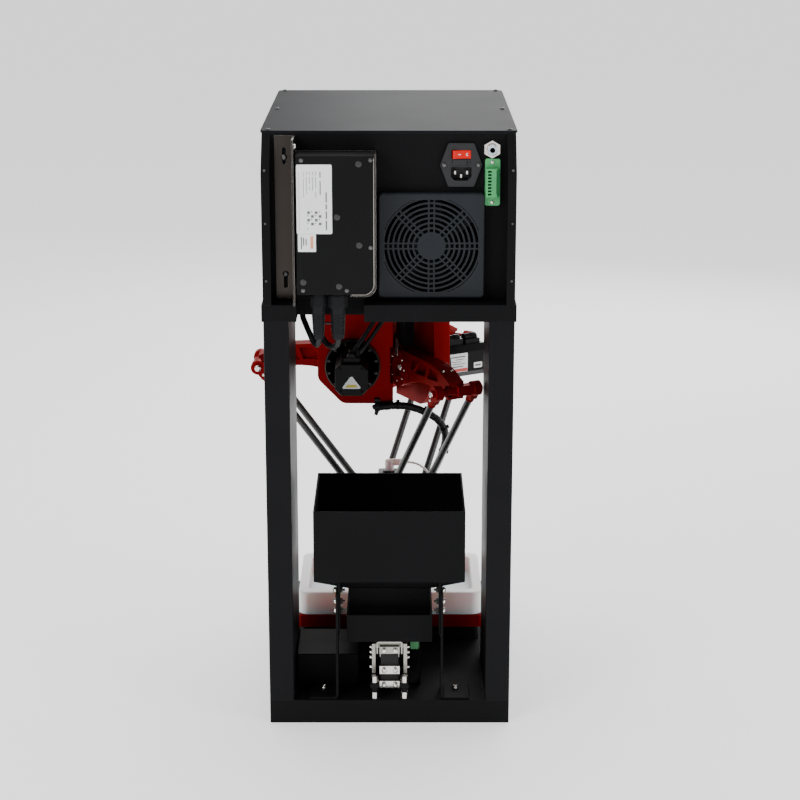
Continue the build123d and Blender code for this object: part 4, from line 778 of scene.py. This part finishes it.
# Reducer rim: raised ring, and dark screws round it
rims = bmesh.new()
rim_screws = bmesh.new()
for letter in ARMS:
    out, w = arm_frame(letter)
    seat = robot + out * axis_r + w * REDUCER_FACE + Z * axis_z
    add_lathe(rims, in_mm((33.5, 0), (35.4, 0), (35.4, 0.8), (34.6, 1.4),
                     (33.5, 0.9), (33.5, 0)), seat, w, 72)
    for k in range(12):
        a = radians(15 + 30 * k)
        add_socket_head(rim_screws, seat + out * cos(a) * 30 * MM + Z * sin(a) * 30 * MM, w,
                        1.6 * MM, 1.7 * MM)
piece("reducer_rims", rims, M["dark_aluminium"], "root")
piece("reducer_screws", rim_screws, M["black_screws"], "root")

# Arm details: hub, web and elbow screws, clamp screws and ferrules on the rods
ELBOW_R, ELBOW_Z, LEAN = 169.925 * MM, 393.69 * MM, radians(36.3)
ROD_OFFSET = 28                         # from the middle of the elbow to each rod, mm
CLAMPS_ALONG, FERRULES_ALONG = (12.0, 213.9), (17.5, 205.4)
for letter in ARMS:
    out, w = arm_frame(letter)
    hub = robot + out * axis_r + Z * axis_z
    elbow = robot + out * ELBOW_R + Z * ELBOW_Z
    down = -out * sin(LEAN) - Z * cos(LEAN)
    arm_screws = bmesh.new()
    for k in range(8):
        a = 2 * pi * k / 8
        spot = hub + out * cos(a) * 17.5 * MM + Z * sin(a) * 17.5 * MM
        add_socket_head(arm_screws, spot - w * 14 * MM + w * 1.4 * MM, -w, 1.8 * MM, 1.8 * MM)
    for side in (-1, 1):
        add_socket_head(arm_screws, elbow + w * side * (34.1 + 2.5) * MM, w * side, 4.2 * MM, 1.4 * MM)
    add_socket_head(arm_screws, hub - w * 9 * MM, -w, 5 * MM, 2.4 * MM)
    for side in (-1, 1):
        add_socket_head(arm_screws, hub + out * 103 * MM + Z * 16.2 * MM + w * side * 6 * MM,
                        Z + out * 0.35, 2.0 * MM, 1.6 * MM)
    piece(f"arm_screws_{letter}", arm_screws, M["bright_metal"], f"arm_{letter}")
    clamps = bmesh.new()
    for side in (-1, 1):
        for along in CLAMPS_ALONG:
            place = elbow + w * side * (ROD_OFFSET + 5.5) * MM + down * along * MM
            add_socket_head(clamps, place, w * side, 2.1 * MM, 1.3 * MM)
    piece(f"clamp_screws_{letter}", clamps, M["bright_metal"], f"forearm_{letter}")
    ferrules = bmesh.new()
    for side in (-1, 1):
        for along in FERRULES_ALONG:
            start = elbow + w * side * ROD_OFFSET * MM + down * along * MM
            add_lathe(ferrules, in_mm((5.0, 0), (5.5, 0.6), (5.5, 4.4), (5.0, 5.0)),
                      start, down, 32)
    piece(f"rod_ferrules_{letter}", ferrules, M["red_anodised"], f"forearm_{letter}")

# Silver homing flag on the second arm
out, w = arm_frame("b")
hub = robot + out * axis_r + Z * axis_z
flag = bmesh.new()
flag_seat = hub - w * 15.2 * MM + Z * 24 * MM
add_prism(flag, in_mm((-6, -6), (4, -8), (5, 4), (8, 9), (1, 16),
                 (-1, 6)), flag_seat, -w, 0.8 * MM, up=out)
piece("homing_flag", flag, M["zinc_steel"], "arm_b", bevel=0.2 * MM)

# Lighter strips on the homing sensors
strips = bmesh.new()
sensor_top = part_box("homing_sensors")[1].z
for letter in ARMS:
    out, w = arm_frame(letter)
    add_prism(strips, rounded(2.2 * MM, 40 * MM, 0.6 * MM, 3),
              robot + out * 43 * MM - w * 7 * MM + Z * (sensor_top - 30 * MM), -w, 0.5 * MM, up=out)
piece("sensor_strips", strips, M["zinc_steel"], "root")

# Hose: stub tails at its fixed end, and cable ties
tails = bmesh.new()
add_lathe(tails, in_mm((3.6, 0), (3.4, 3), (2.6, 4), (0, 4)),
          Vector((-.019, .0155, .3444)), Vector((-0.92, 0, -0.4)), 24)
add_lathe(tails, in_mm((2.6, 0), (2.6, 6), (2.0, 7), (0, 7)),
          Vector((-.0165, .0155, .340)), Vector((-0.3, -0.1, -0.95)), 20)
piece("hose_tails", tails, M["cable_black"], "root")


def add_tie(bm, line, fraction, radius):
    """Cable tie round the hose at a fraction of its length."""
    index = int(fraction * (len(line) - 1))
    direction = (line[index + 1] - line[index - 1]).normalized()
    add_lathe(bm, [(radius - 0.6 * MM, -1.4 * MM), (radius + 0.5 * MM, -1.3 * MM),
                   (radius + 0.5 * MM, 1.3 * MM), (radius - 0.6 * MM, 1.4 * MM)], line[index],
              direction, 32)
    side = direction.cross(Y).normalized()
    add_prism(bm, rounded(4.4 * MM, 3.4 * MM, 0.6 * MM, 2), line[index] + side * (radius + 0.2 * MM), side,
              2.2 * MM, up=direction)


for index, fraction in enumerate((0.16, 0.33, 0.52, 0.70)):
    tie = bmesh.new()
    add_tie(tie, hose_line, fraction, HOSE_RADIUS)
    tie_piece = piece(f"hose_tie_{index + 1}", tie, M["connector_black"], None)
    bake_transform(tie_piece)

# ======================================================================================
# Feeder details
# ======================================================================================
head_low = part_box("vibrator_head")[0]
clamp_screws = bmesh.new()
for z in (0.0413, 0.0608):
    for x in (-.0067, .0071):
        add_socket_head(clamp_screws, Vector((x, head_low.y, z)), REAR, 3.0 * MM, 1.0 * MM)
piece("spring_clamp_screws", clamp_screws, M["bright_metal"], "root")
head_screws = bmesh.new()
for x in (-.0067, .0071):
    add_socket_head(head_screws, Vector((x, head_low.y, .087)), REAR, 3.0 * MM, 1.0 * MM)
for side in (-1, 1):
    for z in (.062, .075, .082, .089):
        add_socket_head(head_screws, Vector((side * .0217, -.180, z)), X * side, 2.2 * MM, 3.6 * MM)
piece("vibrator_screws", head_screws, M["bright_metal"], "trough")
lead_block = bmesh.new()
for k in range(3):
    add_block(lead_block, (.0262 + .0034 * k, -.158, .0765), (.0262 + .0034 * k + .003, -.150, .0885))
add_block(lead_block, (.0255, -.1505, .0755), (.0372, -.142, .0850))
piece("vibrator_terminals", lead_block, M["green_plastic"], "root", bevel=0.3 * MM)
bracket = bmesh.new()
add_block(bracket, (.0240, -.160, .0302), (.0385, -.1420, .0320))
add_block(bracket, (.0370, -.160, .0302), (.0385, -.1420, .0755))
add_block(bracket, (.0255, -.1505, .0740), (.0385, -.1420, .0756))
piece("terminal_bracket", bracket, M["powder_black"], "root", bevel=0.3 * MM)

# Screws along the front of the tray's frame
frame_low, frame_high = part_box("feeder_frame")
frame_screws = bmesh.new()
frame_middle = (frame_low.z + frame_high.z) / 2
for x in (-.095, -.045, .045, .095):
    add_socket_head(frame_screws, Vector((x, frame_high.y, frame_middle)), Y, 2.6 * MM, 1.4 * MM)
piece("feeder_frame_screws", frame_screws, M["bright_metal"], "root")

# ======================================================================================
# Stage: floor, world and lights
# ======================================================================================
floor_mesh = bpy.data.meshes.new("floor")
reach = 30    # half the floor's side, in metres
floor_mesh.from_pydata([(-reach, -reach, 0), (reach, -reach, 0), (reach, reach, 0), (-reach, reach, 0)],
                       [], [(0, 1, 2, 3)])
floor = bpy.data.objects.new("floor", floor_mesh)
scene.collection.objects.link(floor)
floor_material = finish_material("floor_paper", (0.94, 0.94, 0.94), 0.9, variation=0.01, grain=60,
                                 grain_strength=0.01, specular=0.1)
floor_shader = floor_material.node_tree.nodes["Principled BSDF"]
floor_shader.inputs["Emission Color"].default_value = (1, 1, 1, 1)
floor_shader.inputs["Emission Strength"].default_value = 0.6
floor_mesh.materials.append(floor_material)

# White studio, darker on the side the camera looks from
world = bpy.data.worlds.new("studio")
scene.world = world
world.use_nodes = True
sky = world.node_tree
sky_parts = sky.nodes.new("ShaderNodeSeparateXYZ")
sky.links.new(sky.nodes.new("ShaderNodeTexCoord").outputs["Generated"], sky_parts.inputs["Vector"])
sky.nodes["Background"].inputs["Color"].default_value = (1, 1, 1, 1)
strength = ramp(sky, sky_parts.outputs["Y"], 0.3, 1.1, -0.75, 0.1)
sky.links.new(strength, sky.nodes["Background"].inputs["Strength"])


def area_light(name, place, target, width, height, power):
    data = bpy.data.lights.new(name, "AREA")
    data.shape = "RECTANGLE"
    data.size, data.size_y, data.energy = width, height, power
    lamp = bpy.data.objects.new(name, data)
    lamp.location = place
    lamp.rotation_euler = (Vector(target) - Vector(place)).to_track_quat("-Z", "Y").to_euler()
    scene.collection.objects.link(lamp)


middle = (0, 0, 0.4)
area_light("key", (-1.6, -2.0, 1.9), middle, 1.2, 1.2, 30)
area_light("fill", (1.9, -1.4, 1.0), middle, 0.8, 1.6, 14)
area_light("top", (0, 0.6, 2.4), middle, 1.6, 1.6, 26)
area_light("back", (0.6, 2.2, 1.2), middle, 1.6, 1.2, 22)
